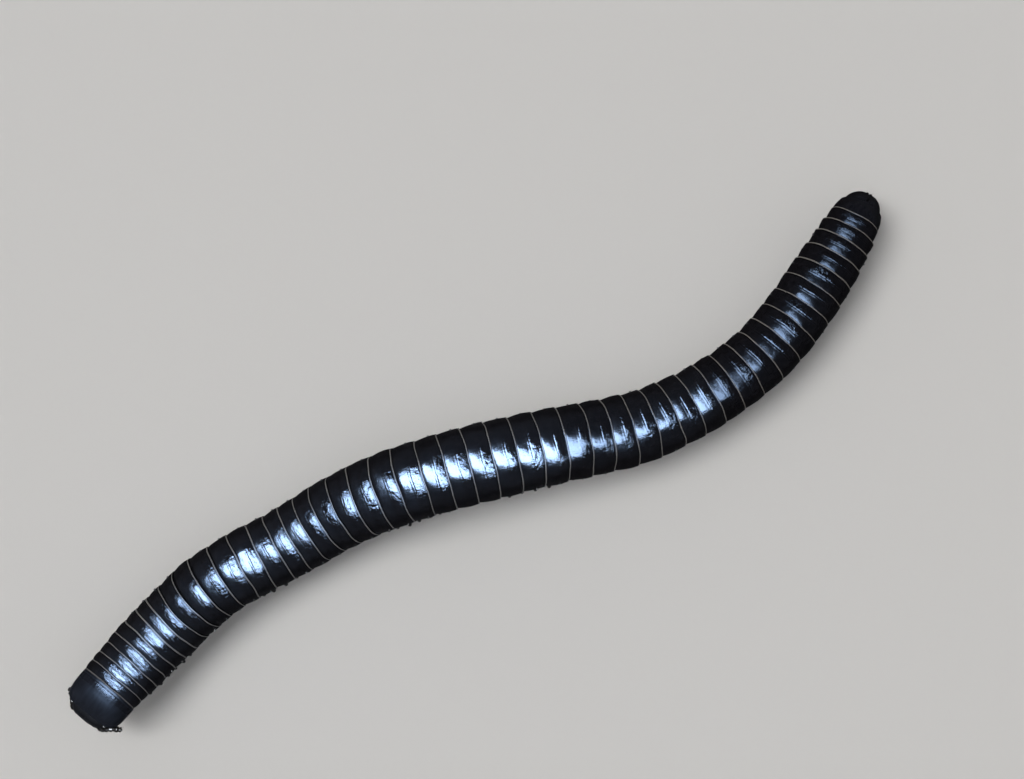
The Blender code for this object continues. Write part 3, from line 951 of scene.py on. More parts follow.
def copies(name, spots, shape, finish, rings=(), inputs=None):
    """Return one mesh of a shape repeated at (point, axes, size) spots.

    rings are the ring numbers of the copies, which the finish of the plates reads,
    and inputs are further inputs of the tree by name.
    """
    tree = bpy.data.node_groups.get("copies on points") or copies_tree()
    host_mesh = bpy.data.meshes.new("spots")
    host_mesh.from_pydata([tuple(point * MM) for point, _, _ in spots], [], [])
    turns = [turn for _, axes, _ in spots for turn in Matrix(np.array(axes).T.tolist()).to_euler()]
    sizes = [value for _, _, size in spots for value in size]
    host_mesh.attributes.new("turn", "FLOAT_VECTOR", "POINT").data.foreach_set("vector", turns)
    host_mesh.attributes.new("size", "FLOAT_VECTOR", "POINT").data.foreach_set("vector", sizes)
    if rings:
        host_mesh.attributes.new("ring", "FLOAT", "POINT").data.foreach_set("value", rings)
    host = thing_of(host_mesh)
    model = thing_of(shape)
    step = host.modifiers.new("copies", "NODES")
    step.node_group = tree
    chosen = {"Shape": model, "Finish": finish, **(inputs or {})}
    for item in tree.interface.items_tree:
        if item.in_out == "INPUT" and item.name in chosen:
            step[item.identifier] = chosen[item.name]
    bpy.context.view_layer.update()
    depsgraph = bpy.context.evaluated_depsgraph_get()
    mesh = bpy.data.meshes.new_from_object(host.evaluated_get(depsgraph))
    bpy.data.objects.remove(host)
    bpy.data.objects.remove(model)
    mesh.name = name
    for spare in ("turn", "size"):
        if spare in mesh.attributes:
            mesh.attributes.remove(mesh.attributes[spare])
    mesh.shade_smooth()
    return mesh


def axes_along(run, side):
    """Return three axes: a run, a side direction square to it, and the third."""
    run = unit(run)
    third = unit(np.cross(run, side))
    return run, np.cross(third, run), third


def spot(point, run, side, length, width):
    """Return where one copy goes: its point, its axes along a run, and its size."""
    return point, axes_along(run, side), (length, width, width)


# Rings and legs

def ring_shape(rim):
    """Make one ring of unit radius and unit length, rear edge at the origin.

    rim is the share of the ring's length that its pale rear edge takes.
    """
    stretch = (1 - rim * (1 + RING_RIM_FRONT)) / RING_FRONT_END
    profile = [(run * stretch if run > 0 else run, height, run) for run, height in RING_FRONT]
    profile += [(1 - rim + run * rim, height, RIM_START + run * (1 - RIM_START)) for run, height in RING_RIM]
    profile += [(run, height, min(max(run, 0.0), 0.9)) for run, height in RING_INSIDE]
    loops = []
    for run, height, _ in profile:
        loop = circle((run - 1, 0, 0), (0, 0, -1 - height), (0, 1 + height, 0), RING_SIDES)
        loop[:, 2] = flattened(loop[:, 2])
        loops.append(loop)
    through = [mark for _, _, mark in profile]
    return loft("ring shape", loops + loops[:1], "open", through=through + [0.0])


def ring_spot(ring):
    """Return where one ring goes, how it is turned and how large it is."""
    point, tail, left, up = frame_at(ring_edge(ring))
    radius = ring_radius(ring)
    lean = math.radians(smooth_value(RING_LEAN, ring))
    run = tail * math.cos(lean) + up * math.sin(lean)
    return point, (run, -left, np.cross(left, run)), (ring_length(ring), radius, radius)


def ring_groups():
    """Return the rings of each length of trunk, with its number."""
    starts = range(2, LAST_RING + 1, RINGS_PER_LENGTH)
    return [
        (number, list(range(first, min(first + RINGS_PER_LENGTH, LAST_RING + 1))))
        for number, first in enumerate(starts, start=1)
    ]


def leg_places(ring):
    """Return the places along the axis of a ring's leg pairs."""
    if ring > LAST_RING_WITH_LEGS:
        return []
    shares = ONE_PAIR_PLACE if ring <= LAST_RING_WITH_ONE_PAIR else TWO_PAIR_PLACES
    return [ring_edge(ring - 1) + ring_length(ring) * share for share in shares]


def leg_pitch(ring):
    """Return the length of ring that each of its leg pairs has."""
    return ring_length(ring) / len(leg_places(ring))


def leg_guides(ring, along, side, draw):
    """Return the hip, two guides and the tip that a leg's curve follows."""
    radius = ring_radius(ring)
    belly = -radius * BELLY_FLATNESS
    hip = at(along, side * HIP_OUT * radius, belly + HIP_SINK)
    phase = math.tau * (along - STRIDE_START) / STRIDE_LENGTH - (SIDE_LAG if side > 0 else 0.0)
    swing = STRIDE * math.sin(phase) + draw.uniform(-1, 1) * STRIDE_VARIATION
    reach = radius + float(smooth_value(TIP_REACH, along))
    reach += REACH_WAVE * math.cos(phase) + draw.uniform(-1, 1) * REACH_VARIATION
    tip = at(along + swing, side * reach, belly)
    tip[2] = TIP_HEIGHT
    thigh = hip + (tip - hip) * THIGH_REACH
    thigh[2] = (hip[2] - HIP_SINK) * THIGH_HEIGHT
    shin = hip + (tip - hip) * SHIN_REACH
    shin[2] = (hip[2] - HIP_SINK) * SHIN_HEIGHT
    return hip, thigh, shin, tip


def lay_leg(spots, ring, along, side, draw, hair_length):
    """Add the spots of one leg's pieces and hairs to the lists of their kinds."""
    guides = leg_guides(ring, along, side, draw)
    slim = min(1.0, leg_pitch(ring) / LEG_SPACING)
    tail = frame_at(along)[1]
    start = guides[0]
    for kind, end_share, radius, stretch, hairs in LEG_PIECES:
        end = bent_route(guides, end_share)
        length = np.linalg.norm(end - start)
        spots[kind].append(spot(start, end - start, tail, length * stretch, radius * slim))
        run = unit(end - start)
        under = unit(run * run[2] - UPWARDS)
        for share, hair_radius in hairs:
            root = bent_route(guides, share) + under * hair_radius * slim * LEG_HAIR_DEPTH
            lean = run * LEG_HAIR_LEAN + under
            spots["bristle"].append(spot(root, lean, tail, hair_length, hair_length))
        start = end


def length_property(label, description, default):
    """Declare a length in metres."""
    return bpy.props.FloatProperty(
        name=label, description=description, default=default, min=0.0, precision=7, unit="LENGTH")


def colour_property(label, description, default):
    """Declare a colour."""
    return bpy.props.FloatVectorProperty(
        name=label, description=description, default=default, size=3, min=0.0, max=1.0, subtype="COLOR")


class MILLIPEDE_PG_sizes(bpy.types.PropertyGroup):
    """Sizes and colours of the finish."""

    wrinkle_depth: length_property("Wrinkle depth", "Depth of the fine wrinkles on each ring", 0.00001)
    unevenness: length_property("Unevenness", "How far the ring surface swells and sinks", 0.000012)
    wobble: length_property("Wobble", "How far the ring edges stray from true circles", 0.0003)
    bristle_length: length_property("Bristle length", "Length of the hairs on the legs", 0.00032)
    shell_colour: colour_property(
        "Shell colour", "Black of the rings, the head and the telson", (0.0038, 0.0034, 0.0042))
    collum_colour: colour_property("Collum colour", "Slate black of the collum", (0.0085, 0.0095, 0.0135))
    rim_colour: colour_property("Rim colour", "Pale rear edge of each ring", (0.16, 0.15, 0.135))
    leg_colour: colour_property("Leg colour", "Black of the legs and antennae", (0.0045, 0.004, 0.004))
    joint_colour: colour_property("Joint colour", "Brown of the leg joints", (0.022, 0.013, 0.009))
    bristle_colour: colour_property("Bristle colour", "Colour of the hairs", (0.07, 0.045, 0.025))


class MILLIPEDE_OT_rings(bpy.types.Operator):
    """Build the rings of the trunk, seven to a piece"""

    bl_idname = "millipede.rings"
    bl_label = "Rings"

    def execute(self, context):
        sizes = context.scene.millipede
        # The last lengths of trunk get duller copies of the ring finish, as painted shade over the tail
        for (number, rings), shine in zip(ring_groups(), RING_SHINE_AND_TAIL_SHADE):
            spots = [ring_spot(ring) for ring in rings]
            rim = RIM_WIDTH / np.mean([size[0] for _, _, size in spots])
            mesh = copies("rings", spots, ring_shape(rim), ring_finish(sizes, shine), rings, {
                "Unevenness": sizes.unevenness, "Unevenness Size": UNEVENNESS_SIZE,
                "Wobble": sizes.wobble, "Wobble Size": WOBBLE_SIZE, "Seed": number * SEED_STEP,
            })
            keep(mesh, f"rings_{number}", "shell", f"trunk_{number}")
        return {"FINISHED"}


class MILLIPEDE_OT_pores(bpy.types.Operator):
    """Build the gland openings on the sides of the rings"""

    bl_idname = "millipede.pores"
    bl_label = "Pores"

    def execute(self, context):
        angle = math.radians(PORE_DEGREES)
        spots = []
        for ring in range(FIRST_RING_WITH_PORES, LAST_RING_WITH_LEGS + 1):
            point, tail, left, up = frame_at(ring_edge(ring - 1) + ring_length(ring) * PORE_PLACE)
            for side in (1, -1):
                out = left * side * math.cos(angle) + up * math.sin(angle)
                place = point + out * ring_radius(ring) * PORE_REACH
                spots.append(spot(place, out, tail, PORE_RADIUS, PORE_RADIUS))
        keep(copies("pores", spots, spindle("pore"), small_finish("pore brown")), "pores", "shell")
        return {"FINISHED"}


class MILLIPEDE_OT_legs(bpy.types.Operator):
    """Build every leg from coxa to claw, with its bristles"""

    bl_idname = "millipede.legs"
    bl_label = "Legs"

    def execute(self, context):
        sizes = context.scene.millipede
        finish = leg_finish(sizes)
        finishes = {"limb": finish, "tarsus": finish, "claw": finish, "bristle": bristle_finish(sizes)}
        for number, rings in ring_groups():
            draw = random.Random(SEED + number)
            spots = {kind: [] for kind in finishes}
            for ring in rings:
                for along in leg_places(ring):
                    for side in (1, -1):
                        lay_leg(spots, ring, along, side, draw, sizes.bristle_length / MM)
            mesh = merged([copies(kind, spots[kind], spindle(kind), finishes[kind]) for kind in finishes])
            for point in mesh.vertices:
                point.co.z = max(point.co.z, 0.0)
            keep(mesh, f"legs_{number}", "limb", f"trunk_{number}")
        return {"FINISHED"}


class MILLIPEDE_OT_belly(bpy.types.Operator):
    """Build the sternal plates between the legs"""

    bl_idname = "millipede.belly"
    bl_label = "Belly"

    def execute(self, context):
        spots = []
        for ring in range(2, LAST_RING_WITH_LEGS + 1):
            for along in leg_places(ring):
                point, tail, left, up = frame_at(along)
                place = point - up * ring_radius(ring) * (BELLY_FLATNESS - STERNITE_RISE)
                size = (leg_pitch(ring) * STERNITE_LENGTH, *STERNITE_HALF)
                spots.append((place, (tail, -left, up), size))
        mesh = copies("sternites", spots, spindle("sternite"), small_finish("belly brown"))
        keep(mesh, "sternites", "shell")
        return {"FINISHED"}


# Head

def ray_to_egg(rays, centre, half):
    """Return how far rays from the head's centre go before they leave an egg."""
    centre = np.array(centre) - np.array(HEAD_CENTRE)
    half = np.array(half)
    a = ((rays / half) ** 2).sum(axis=-1)
    b = (rays * centre / half ** 2).sum(axis=-1)
    c = ((centre / half) ** 2).sum() - 1
    inside = b * b - a * c
    reach = (b + np.sqrt(np.maximum(inside, 0))) / a
    return np.where(inside > 0, reach, 0.0)


def soft_larger(first, second, blend):
    """Return the larger of two values with a rounded change-over."""
    near = np.maximum(blend - np.abs(first - second), 0) / blend
    return np.maximum(first, second) + near * near * blend * 0.25


def head_form(rays):
    """Return how far the head's plain form is from its centre along unit rays."""
    along, left, up = np.abs(rays / np.array(HEAD_HALF)).T ** HEAD_SQUARENESS
    narrow = 1.0
    for _ in range(4):
        reach = (along + left / narrow ** HEAD_SQUARENESS + up) ** (-1 / HEAD_SQUARENESS)
        narrow = 1 + (HEAD_CHIN - 1) * np.clip(-reach * rays[:, 2] / HEAD_HALF[2], 0, 1)
    for side in (1, -1):
        centre = np.array(CHEEK_CENTRE) * (1, side, 1)
        reach = soft_larger(reach, ray_to_egg(rays, centre, CHEEK_HALF), CHEEK_BLEND)
    reach = soft_larger(reach, ray_to_egg(rays, JAW_PLATE_CENTRE, JAW_PLATE_HALF), CHEEK_BLEND)
    return soft_larger(reach, ray_to_egg(rays, LIP_CENTRE, LIP_HALF), LIP_BLEND)


def head_carving(along, left, up):
    """Return how far lines, seams, teeth and sockets raise the head at its places."""
    front = ramp(along, *FRONT_RAMP)
    raised = ridge(left, *BROW_LINE) * front * ramp(up, *BROW_RAMP)
    lip_line = up - LIP_SEAM_UP - LIP_SEAM_BOW * left * left
    raised += ridge(lip_line, *LIP_SEAM) * front * ramp(np.abs(left), *LIP_SEAM_RAMP)
    lip_edge = ramp(up, *LIP_UP_RAMP) * ramp(along, *LIP_ALONG_RAMP)
    raised += ridge(left, *LIP_NOTCH) * lip_edge
    raised += ridges(left, LIP_TEETH) * lip_edge
    under = ramp(up, *UNDER_RAMP) * ramp(along, *JAW_FRONT_RAMP)
    raised += ridge(left, *JAW_SEAM) * under * ramp(along, *JAW_REAR_RAMP)
    for side in (1, -1):
        out = left * side
        jaw_line = out - JAW_SEAM_PLACE[1] - JAW_SEAM_SPREAD * (along - JAW_SEAM_PLACE[0])
        raised += ridge(jaw_line, *JAW_SEAM) * under
        cheek = ramp(out, *CHEEK_LEFT_RAMP) * ramp(up, *CHEEK_UP_RAMP)
        cheek_line = along - CHEEK_SEAM_PLACE[0] + CHEEK_SEAM_SLOPE * (up - CHEEK_SEAM_PLACE[1])
        raised += ridge(cheek_line, *CHEEK_SEAM) * cheek
        behind = np.maximum(along - SOCKET_CENTRE[0], 0)
        socket = np.sqrt((out - SOCKET_CENTRE[1]) ** 2 + (up - SOCKET_CENTRE[2]) ** 2 + behind ** 2)
        raised += ridge(socket - SOCKET_RIM_RADIUS, *SOCKET_RIM)
        raised += ridge(socket ** 2, SOCKET_RADIUS ** 2, -SOCKET_DEPTH)
        orbit = np.hypot((along - EYE_CENTRE[0]) / ORBIT_HALF[0], (up - EYE_CENTRE[2]) / ORBIT_HALF[1])
        raised += ridge(orbit - ORBIT_RADIUS, *ORBIT_LINE) * ramp(out, *ORBIT_RAMP)
    return raised


def head_places(rays):
    """Return the places on the animal where unit rays leave the head."""
    centre = np.array(HEAD_CENTRE)
    reach = head_form(rays)
    carved = reach + head_carving(*(rays * reach[:, None] + centre).T)
    return rays * carved[:, None] + centre


def head_mesh():
    """Skin the head on a cube pressed out to a ball, so that it has no poles."""
    grid = np.tan(np.linspace(-math.pi / 4, math.pi / 4, HEAD_STEPS + 1))
    numbers = {}
    faces = []
    for axis in range(3):
        for sign in (1, -1):
            index = []
            for first in grid:
                rays = [np.roll((sign, first, second), axis).round(9) + 0.0 for second in grid]
                index.append([numbers.setdefault(tuple(ray), len(numbers)) for ray in rays])
            for i in range(HEAD_STEPS):
                for j in range(HEAD_STEPS):
                    face = (index[i][j + 1], index[i + 1][j + 1], index[i + 1][j], index[i][j])
                    faces.append(face[::sign])
    rays = np.array(list(numbers))
    places = head_places(rays / np.linalg.norm(rays, axis=1)[:, None])
    mesh = bpy.data.meshes.new("head")
    mesh.from_pydata([tuple(at(*place) * MM) for place in places], [], faces)
    mesh.shade_smooth()
    mesh.update()
    return mesh


def head_hair(ray, length):
    """Return the spot of a hair that stands on the head and leans down and forwards."""
    ray = unit(np.array(ray))
    place = head_places(ray[None, :])[0]
    _, tail, left, up = frame_at(float(place[0]))
    out = unit(tail * ray[0] + left * ray[1] + up * ray[2])
    _, tail, left, _ = frame_at(HEAD_CENTRE[0])
    lean = out * HEAD_HAIR_OUT - tail * HEAD_HAIR_FORWARD - UPWARDS * HEAD_HAIR_DOWN
    return spot(at(*place) - out * HEAD_HAIR_SINK, lean, left, length, length * HEAD_HAIR_WIDTH)


class MILLIPEDE_OT_head(bpy.types.Operator):
    """Build the head with its seams, cheeks, lip, jaw plate, hairs and neck skin"""

    bl_idname = "millipede.head"
    bl_label = "Head"

    def execute(self, context):
        sizes = context.scene.millipede
        finish = finish_of("head slate", head_finish, sizes.shell_colour)
        keep(dressed(head_mesh(), finish), "head_shell", "head_shell", "head")
        hairs = [head_hair(ray, length) for ray, length in HEAD_HAIRS]
        mesh = copies("head_hairs", hairs, spindle("bristle"), bristle_finish(sizes))
        keep(mesh, "head_hairs", "head_shell")
        keep(dressed(self.neck(), small_finish("neck brown")), "neck_skin", "head_shell")
        return {"FINISHED"}

    def neck(self):
        """Make the folded skin between the head and the collum."""
        shares = np.linspace(0.0, 1.0, NECK_ROWS)
        loops = []
        for outside, order in ((NECK_RADIUS, 1), (NECK_RADIUS - NECK_THICKNESS, -1)):
            for share in shares[::order]:
                along = ring_edge(1) + NECK_OVERLAP * (1 - 2 * share)
                fold = NECK_FOLD * math.sin(share * math.tau * NECK_FOLDS)
                radius = outside - NECK_TAPER * share + fold
                loop = circle((along, 0, 0), (0, 0, -radius), (0, -radius, 0), NECK_SIDES)
                loop[:, 2] = flattened(loop[:, 2])
                loops.append(loop)
        return loft("neck", placed(loops + loops[:1]), "open")


class MILLIPEDE_OT_eyes(bpy.types.Operator):
    """Build the two patches of eyelets"""

    bl_idname = "millipede.eyes"
    bl_label = "Eyes"

    def execute(self, context):
        finish = small_finish("eye black")
        for name, side in (("eye_left", 1), ("eye_right", -1)):
            eyelets = copies("eyelets", self.eyelet_spots(side), spindle("eyelet"), finish)
            mesh = merged([dressed(self.base(side), finish), eyelets])
            keep(mesh, f"{name}_patch", "eye", name)
        return {"FINISHED"}

    def base(self, side):
        """Make the low egg that the eyelets stand on."""
        loops = []
        for row in range(1, EYE_ROWS):
            share = -math.cos(math.pi * row / EYE_ROWS)
            ring = math.sqrt(1 - share * share)
            centre = (EYE_CENTRE[0], side * (EYE_CENTRE[1] + share * EYE_HALF[1]), EYE_CENTRE[2])
            loops.append(circle(centre, (ring * EYE_HALF[0], 0, 0), (0, 0, ring * EYE_HALF[2]), EYE_SIDES))
        return loft("base", placed(loops))

    def eyelet_spots(self, side):
        """Return the spots of the eyelets, in rows that are set off by half a step."""
        _, tail, left, up = frame_at(EYE_CENTRE[0])
        spots = []
        for row in range(-4, 5):
            for column in range(-5, 6):
                back_by = (column + (row % 2) * 0.5) * EYELET_PITCH
                up_by = row * EYELET_PITCH * EYELET_ROW_PITCH
                inside = (back_by / EYE_HALF[0]) ** 2 + (up_by / EYE_HALF[2]) ** 2
                if inside > EYELET_LIMIT:
                    continue
                out_by = math.sqrt(1 - inside) * EYE_HALF[1]
                out = tail * back_by / EYE_HALF[0] ** 2 + up * up_by / EYE_HALF[2] ** 2
                out += left * side * out_by / EYE_HALF[1] ** 2
                place = at(EYE_CENTRE[0] + back_by, side * (EYE_CENTRE[1] + out_by), EYE_CENTRE[2] + up_by)
                spots.append(spot(place, out, tail, EYELET_RADIUS, EYELET_RADIUS))
        return spots


class MILLIPEDE_OT_antennae(bpy.types.Operator):
    """Build the two antennae, eight articles each, with cones and hairs"""

    bl_idname = "millipede.antennae"
    bl_label = "Antennae"

    def execute(self, context):
        sizes = context.scene.millipede
        for name, side in (("antenna_left", 1), ("antenna_right", -1)):
            guides = [at(along, side * left, up) for along, left, up in ANTENNA_ROUTE]
            draw = random.Random(SEED + side)
            meshes = []
            hairs = []
            for start, end, radius in ARTICLES:
                meshes.append(self.article(guides, start, end, radius))
                hairs += [self.hair(guides, start, end, radius, draw) for _ in range(HAIRS_PER_ARTICLE)]
            meshes = [dressed(mesh, leg_finish(sizes)) for mesh in meshes + self.cones(guides)]
            meshes.append(copies("hairs", hairs, spindle("bristle"), bristle_finish(sizes)))
            keep(merged(meshes), f"{name}_full", "limb", name)
        return {"FINISHED"}

    def article(self, guides, start, end, radius):
        """Make one article: a narrow neck, a full shoulder and a rounded end."""
        steps = np.linspace(0.0, 1.0, ARTICLE_ROWS)
        neck = np.sin(np.clip(steps / ARTICLE_SHOULDER, 0, 1) * math.pi / 2) ** 1.5
        full = ARTICLE_NECK + (1 - ARTICLE_NECK) * neck
        close = np.sqrt(1 - ramp(steps, ARTICLE_SHOULDER, 1.0) ** 2.5 * ARTICLE_CLOSE)
        root = np.sqrt(np.clip(ARTICLE_ROOT + steps / ARTICLE_ROOT_RUN, 0, 1))
        centres = [bent_route(guides, share) for share in np.linspace(start, end, ARTICLE_ROWS)]
        return tube("article", centres, radius * full * close * root, ARTICLE_SIDES)

    def about(self, run, turn):
        """Return the direction square to a run at an angle about it."""
        _, flat, third = axes_along(run, UPWARDS)
        return flat * math.cos(turn) + third * math.sin(turn)

    def hair(self, guides, start, end, radius, draw):
        """Return the spot of one hair at a random place on an article."""
        share = start + (end - start) * draw.uniform(*ARTICLE_HAIR_PLACES)
        run = unit(bent_route(guides, min(share + 0.02, 1.0)) - bent_route(guides, share - 0.02))
        out = self.about(run, draw.uniform(0, math.tau))
        root = bent_route(guides, share) + out * radius * ARTICLE_HAIR_DEPTH
        return spot(root, out + run * ARTICLE_HAIR_LEAN, run + out * 0.3, *ARTICLE_HAIR_SIZE)

    def cones(self, guides):
        """Make the four cones at the tip."""
        tip = bent_route(guides, 1.0)
        run = unit(tip - bent_route(guides, 0.97))
        cones = []
        for k in range(CONES):
            root = tip + self.about(run, math.tau * (k + 0.5) / CONES) * CONE_SPREAD - run * CONE_SINK
            centres = [root + run * along for along, _ in CONE_PROFILE]
            cones.append(tube("cone", centres, [radius for _, radius in CONE_PROFILE], CONE_SIDES))
        return cones


# Collum and telson

def shell_plate(rows, columns, edge, dome, thickness, rear, margin_height, closed):
    """Make a curved plate round the body between its fixed edge and a shaped one.

    edge gives the shaped edge by degrees from the top, dome the half width and height
    by the place along the axis, and thickness is that of the fixed and the shaped edge.
    """
    lowest = edge[-1][0]
    loops = []
    through = []
    for column in range(columns + 1):
        turn = lowest * (2 * column / columns - 1)
        end = float(smooth_value(edge, abs(turn)))
        across = math.sin(math.radians(turn))
        height = float(flattened(math.cos(math.radians(turn))))
        outer, inner, marks = [], [], []
        for row in range(rows + 1):
            share = row / rows
            along = rear + (end - rear) * math.sin(0.5 * math.pi * share)
            wide, high = dome(along)
            lift = margin_height * ridges(abs(along - end), MARGIN)
            outer.append(at(along, across * (wide + lift), height * (high + lift)))
            grown = ramp(abs(along - rear), 0.0, THICKNESS_RUN)
            thick = min(thickness[0] + (thickness[1] - thickness[0]) * grown, high * 0.5)
            inner.append(at(along, across * (wide - thick), height * (high - thick)))
            marks.append(1.0 - share)
        loops.append(outer + inner[::-1])
        through.append(marks + [0.4] * len(inner) + [1.0])
    if closed:
        loops[-1] = loops[0]
    around = np.arange(columns + 1)[:, None] / columns
    return loft("plate", loops, "open" if closed else "flat", around, through)


class MILLIPEDE_OT_collum(bpy.types.Operator):
    """Build the smooth shield behind the head"""

    bl_idname = "millipede.collum"
    bl_label = "Collum"

    def execute(self, context):
        rear = ring_edge(1)
        base = ring_radius(1)

        def dome(along):
            share = ramp(along, rear, COLLUM_DOME_END)
            tuck = ridge(rear - along, COLLUM_TUCK_WIDTH, COLLUM_TUCK)
            wide = base * rounded(share, COLLUM_SIDE_SQUARENESS) - tuck
            return wide, base * rounded(share, COLLUM_TOP_SQUARENESS) - tuck

        mesh = shell_plate(COLLUM_ROWS, COLLUM_COLUMNS, COLLUM_EDGE, dome, COLLUM_THICKNESS, rear,
                           COLLUM_MARGIN, False)
        keep(dressed(mesh, collum_finish(context.scene.millipede)), "collum_shell", "shell", "collum")
        return {"FINISHED"}


class MILLIPEDE_OT_telson(bpy.types.Operator):
    """Build the preanal ring, the two valves and the scale under them"""

    bl_idname = "millipede.telson"
    bl_label = "Telson"

    def execute(self, context):
        sizes = context.scene.millipede
        finish = ring_finish(sizes)
        keep(dressed(self.preanal(), finish), "preanal_shell", "shell", "preanal_ring")
        hairs = []
        for name, side in (("anal_valve_left", 1), ("anal_valve_right", -1)):
            keep(dressed(self.valve(side), finish), f"{name}_full", "shell", name)
            hairs += [self.hair(side, math.radians(degrees)) for degrees in VALVE_HAIRS]
        mesh = copies("telson_hairs", hairs, spindle("bristle"), bristle_finish(sizes))
        keep(mesh, "telson_hairs", "shell")
        keep(dressed(self.scale(), finish), "subanal_plate", "shell", "subanal_scale")
        return {"FINISHED"}

    def preanal(self):
        """Make the last ring, drawn out to a blunt point over the valves."""
        front = ring_edge(LAST_RING)
        base = ring_radius(LAST_RING) - PREANAL_STEP

        def dome(along):
            radius = base * rounded(ramp(along, front, PREANAL_END), PREANAL_SQUARENESS)
            return radius, radius

        return shell_plate(PREANAL_ROWS, PREANAL_COLUMNS, PREANAL_EDGE, dome, PREANAL_THICKNESS,
                           front + PREANAL_START, PREANAL_MARGIN, True)

    def hair(self, side, angle):
        """Return the spot of a hair on a valve's lip."""
        _, tail, left, up = frame_at(VALVE_CENTRE[0])
        out = tail * math.cos(angle) + up * math.sin(angle) + left * side * VALVE_HAIR_LEAN
        back_by, up_by = math.cos(angle) * VALVE_HALF[0], math.sin(angle) * VALVE_HALF[2]
        root = at(VALVE_CENTRE[0] + back_by, side * VALVE_HAIR_LEFT, VALVE_CENTRE[2] + up_by)
        return spot(root, out, left, *VALVE_HAIR_SIZE)

    def valve(self, side):
        """Make one valve: half an egg with a raised lip where it meets the other."""
        loops = []
        shares = np.linspace(0.0, 1.0, VALVE_ROWS)
        for share in shares:
            depth = (1 - VALVE_GAP) * math.sin(0.5 * math.pi * share)
            out_by = VALVE_GAP + depth
            ring = math.sqrt(1 - depth ** 2)
            lip = ridges(out_by, VALVE_LIP) if share else VALVE_FACE_LIP
            centre = (VALVE_CENTRE[0], side * (VALVE_CENTRE[1] + out_by * VALVE_HALF[1]), VALVE_CENTRE[2])
            back, up = (ring * VALVE_HALF[0] + lip, 0, 0), (0, 0, ring * VALVE_HALF[2] + lip)
            loops.append(circle(centre, back, up, VALVE_SIDES))
        return loft("valve", placed(loops), through=0.1 + 0.35 * shares)

    def scale(self):
        """Make the small plate below the valves."""
        loops = []
        for row in range(1, SCALE_ROWS):
            share = -math.cos(math.pi * row / SCALE_ROWS)
            ring = rounded(share, SCALE_SQUARENESS)
            width = ring * (1 - SCALE_TAPER * max(share, 0.0)) * SCALE_HALF[1]
            centre = (SCALE_CENTRE[0] + share * SCALE_HALF[0], 0, SCALE_CENTRE[2])
            loops.append(circle(centre, (0, width, 0), (0, 0, ring * SCALE_HALF[2]), SCALE_SIDES))
        return loft("scale", placed(loops), through=0.1 + 0.3 * np.linspace(0.0, 1.0, len(loops)))


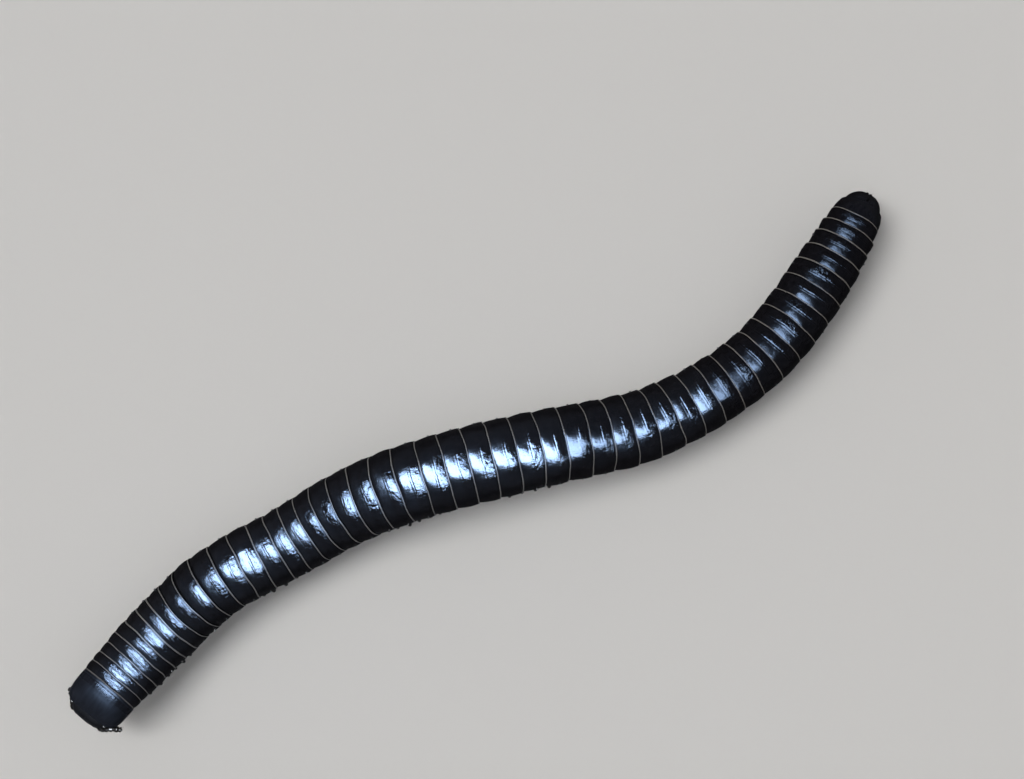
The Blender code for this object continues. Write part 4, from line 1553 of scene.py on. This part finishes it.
class MILLIPEDE_OT_stage(bpy.types.Operator):
    """Set up the pale floor, the world, the lights and the camera"""

    bl_idname = "millipede.stage"
    bl_label = "Stage"

    def execute(self, context):
        scene = context.scene
        scene.view_settings.view_transform = "Standard"
        self.floor()
        scene.world = self.world()
        glint = self.light("glint", "AREA", GLINT_PLACE, (0.0, 0.0, -1.0), GLINT_POWER)
        glint.rotation_euler = (0.0, 0.0, math.radians(GLINT_TURN))
        glint.data.shape = "ELLIPSE"
        glint.data.size = GLINT_SIZE[0] * MM
        glint.data.size_y = GLINT_SIZE[1] * MM
        glint.data.color = GLINT_COLOUR
        glint.visible_diffuse = False
        sky = self.light("sky", "SUN", CAMERA_PLACE, SKY_AIM, SKY_STRENGTH)
        sky.data.angle = math.radians(SKY_ANGLE)
        sky.visible_glossy = False
        scene.camera = self.camera()
        return {"FINISHED"}

    def floor(self):
        """Lay the plain floor, which the gloss doesn't mirror."""
        half = FLOOR_HALF
        mesh = bpy.data.meshes.new("floor")
        mesh.from_pydata([(-half, -half, 0), (half, -half, 0), (half, half, 0), (-half, half, 0)], [],
                         [(0, 1, 2, 3)])
        floor = thing_of(dressed(mesh, Finish("floor pale", FLOOR_LOOKS).material))
        floor.visible_glossy = False

    def world(self):
        """Return a world that is pale above and dark below."""
        world = bpy.data.worlds.new("studio")
        world.use_nodes = True
        wiring = Wiring(world.node_tree)
        height = wiring.parts(wiring.value("ShaderNodeTexCoord"))[2]
        shade = wiring.mix(height.past(*WORLD_EDGE), WORLD_BELOW, WORLD_ABOVE)
        back = world.node_tree.nodes["Background"]
        world.node_tree.links.new(shade.socket, back.inputs["Color"])
        back.inputs["Strength"].default_value = 1.0
        return world

    def camera(self):
        """Return the camera over the animal."""
        camera = bpy.data.cameras.new("camera")
        camera.lens = CAMERA_LENS
        camera.sensor_width = CAMERA_SENSOR
        camera.clip_start, camera.clip_end = CAMERA_CLIP
        holder = bpy.data.objects.new("camera", camera)
        bpy.context.scene.collection.objects.link(holder)
        place = np.array(CAMERA_PLACE)
        forward = unit(np.array(CAMERA_TARGET) - place)
        right = unit(np.cross(forward, CAMERA_UP))
        axes = Matrix(np.array([right, np.cross(right, forward), -forward]).T.tolist()).to_4x4()
        holder.matrix_world = Matrix.Translation(Vector(place * MM)) @ axes
        return holder

    def light(self, name, kind, place, aim, power):
        """Add a light, at a place in millimetres, that points in a direction."""
        data = bpy.data.lights.new(name, kind)
        data.energy = power
        lamp = bpy.data.objects.new(name, data)
        bpy.context.scene.collection.objects.link(lamp)
        lamp.location = Vector(place) * MM
        lamp.rotation_euler = Vector(aim).to_track_quat("-Z", "Y").to_euler()
        lamp.visible_camera = False
        return lamp


class MILLIPEDE_PT_panel(bpy.types.Panel):
    """List the sizes and the pieces of the millipede"""

    bl_idname = "MILLIPEDE_PT_panel"
    bl_label = "Millipede"
    bl_space_type = "VIEW_3D"
    bl_region_type = "UI"
    bl_category = "Millipede"

    def draw(self, context):
        sizes = context.scene.millipede
        for name in sizes.bl_rna.properties.keys():
            if name not in {"rna_type", "name"}:
                self.layout.prop(sizes, name)
        for operator in OPERATORS:
            self.layout.operator(operator.bl_idname)


OPERATORS = (
    MILLIPEDE_OT_rings, MILLIPEDE_OT_pores, MILLIPEDE_OT_legs, MILLIPEDE_OT_belly,
    MILLIPEDE_OT_collum, MILLIPEDE_OT_head, MILLIPEDE_OT_eyes, MILLIPEDE_OT_antennae,
    MILLIPEDE_OT_telson, MILLIPEDE_OT_stage,
)
CLASSES = (MILLIPEDE_PG_sizes, *OPERATORS, MILLIPEDE_PT_panel)


def register():
    """Register the classes and the sizes."""
    for kind in CLASSES:
        bpy.utils.register_class(kind)
    bpy.types.Scene.millipede = bpy.props.PointerProperty(type=MILLIPEDE_PG_sizes)


def unregister():
    """Take the classes and the sizes away."""
    del bpy.types.Scene.millipede
    for kind in reversed(CLASSES):
        bpy.utils.unregister_class(kind)


def main():
    """Build every piece and the stage."""
    register()
    for operator in OPERATORS:
        group, _, name = operator.bl_idname.partition(".")
        getattr(getattr(bpy.ops, group), name)()


if __name__ == "__main__":
    main()
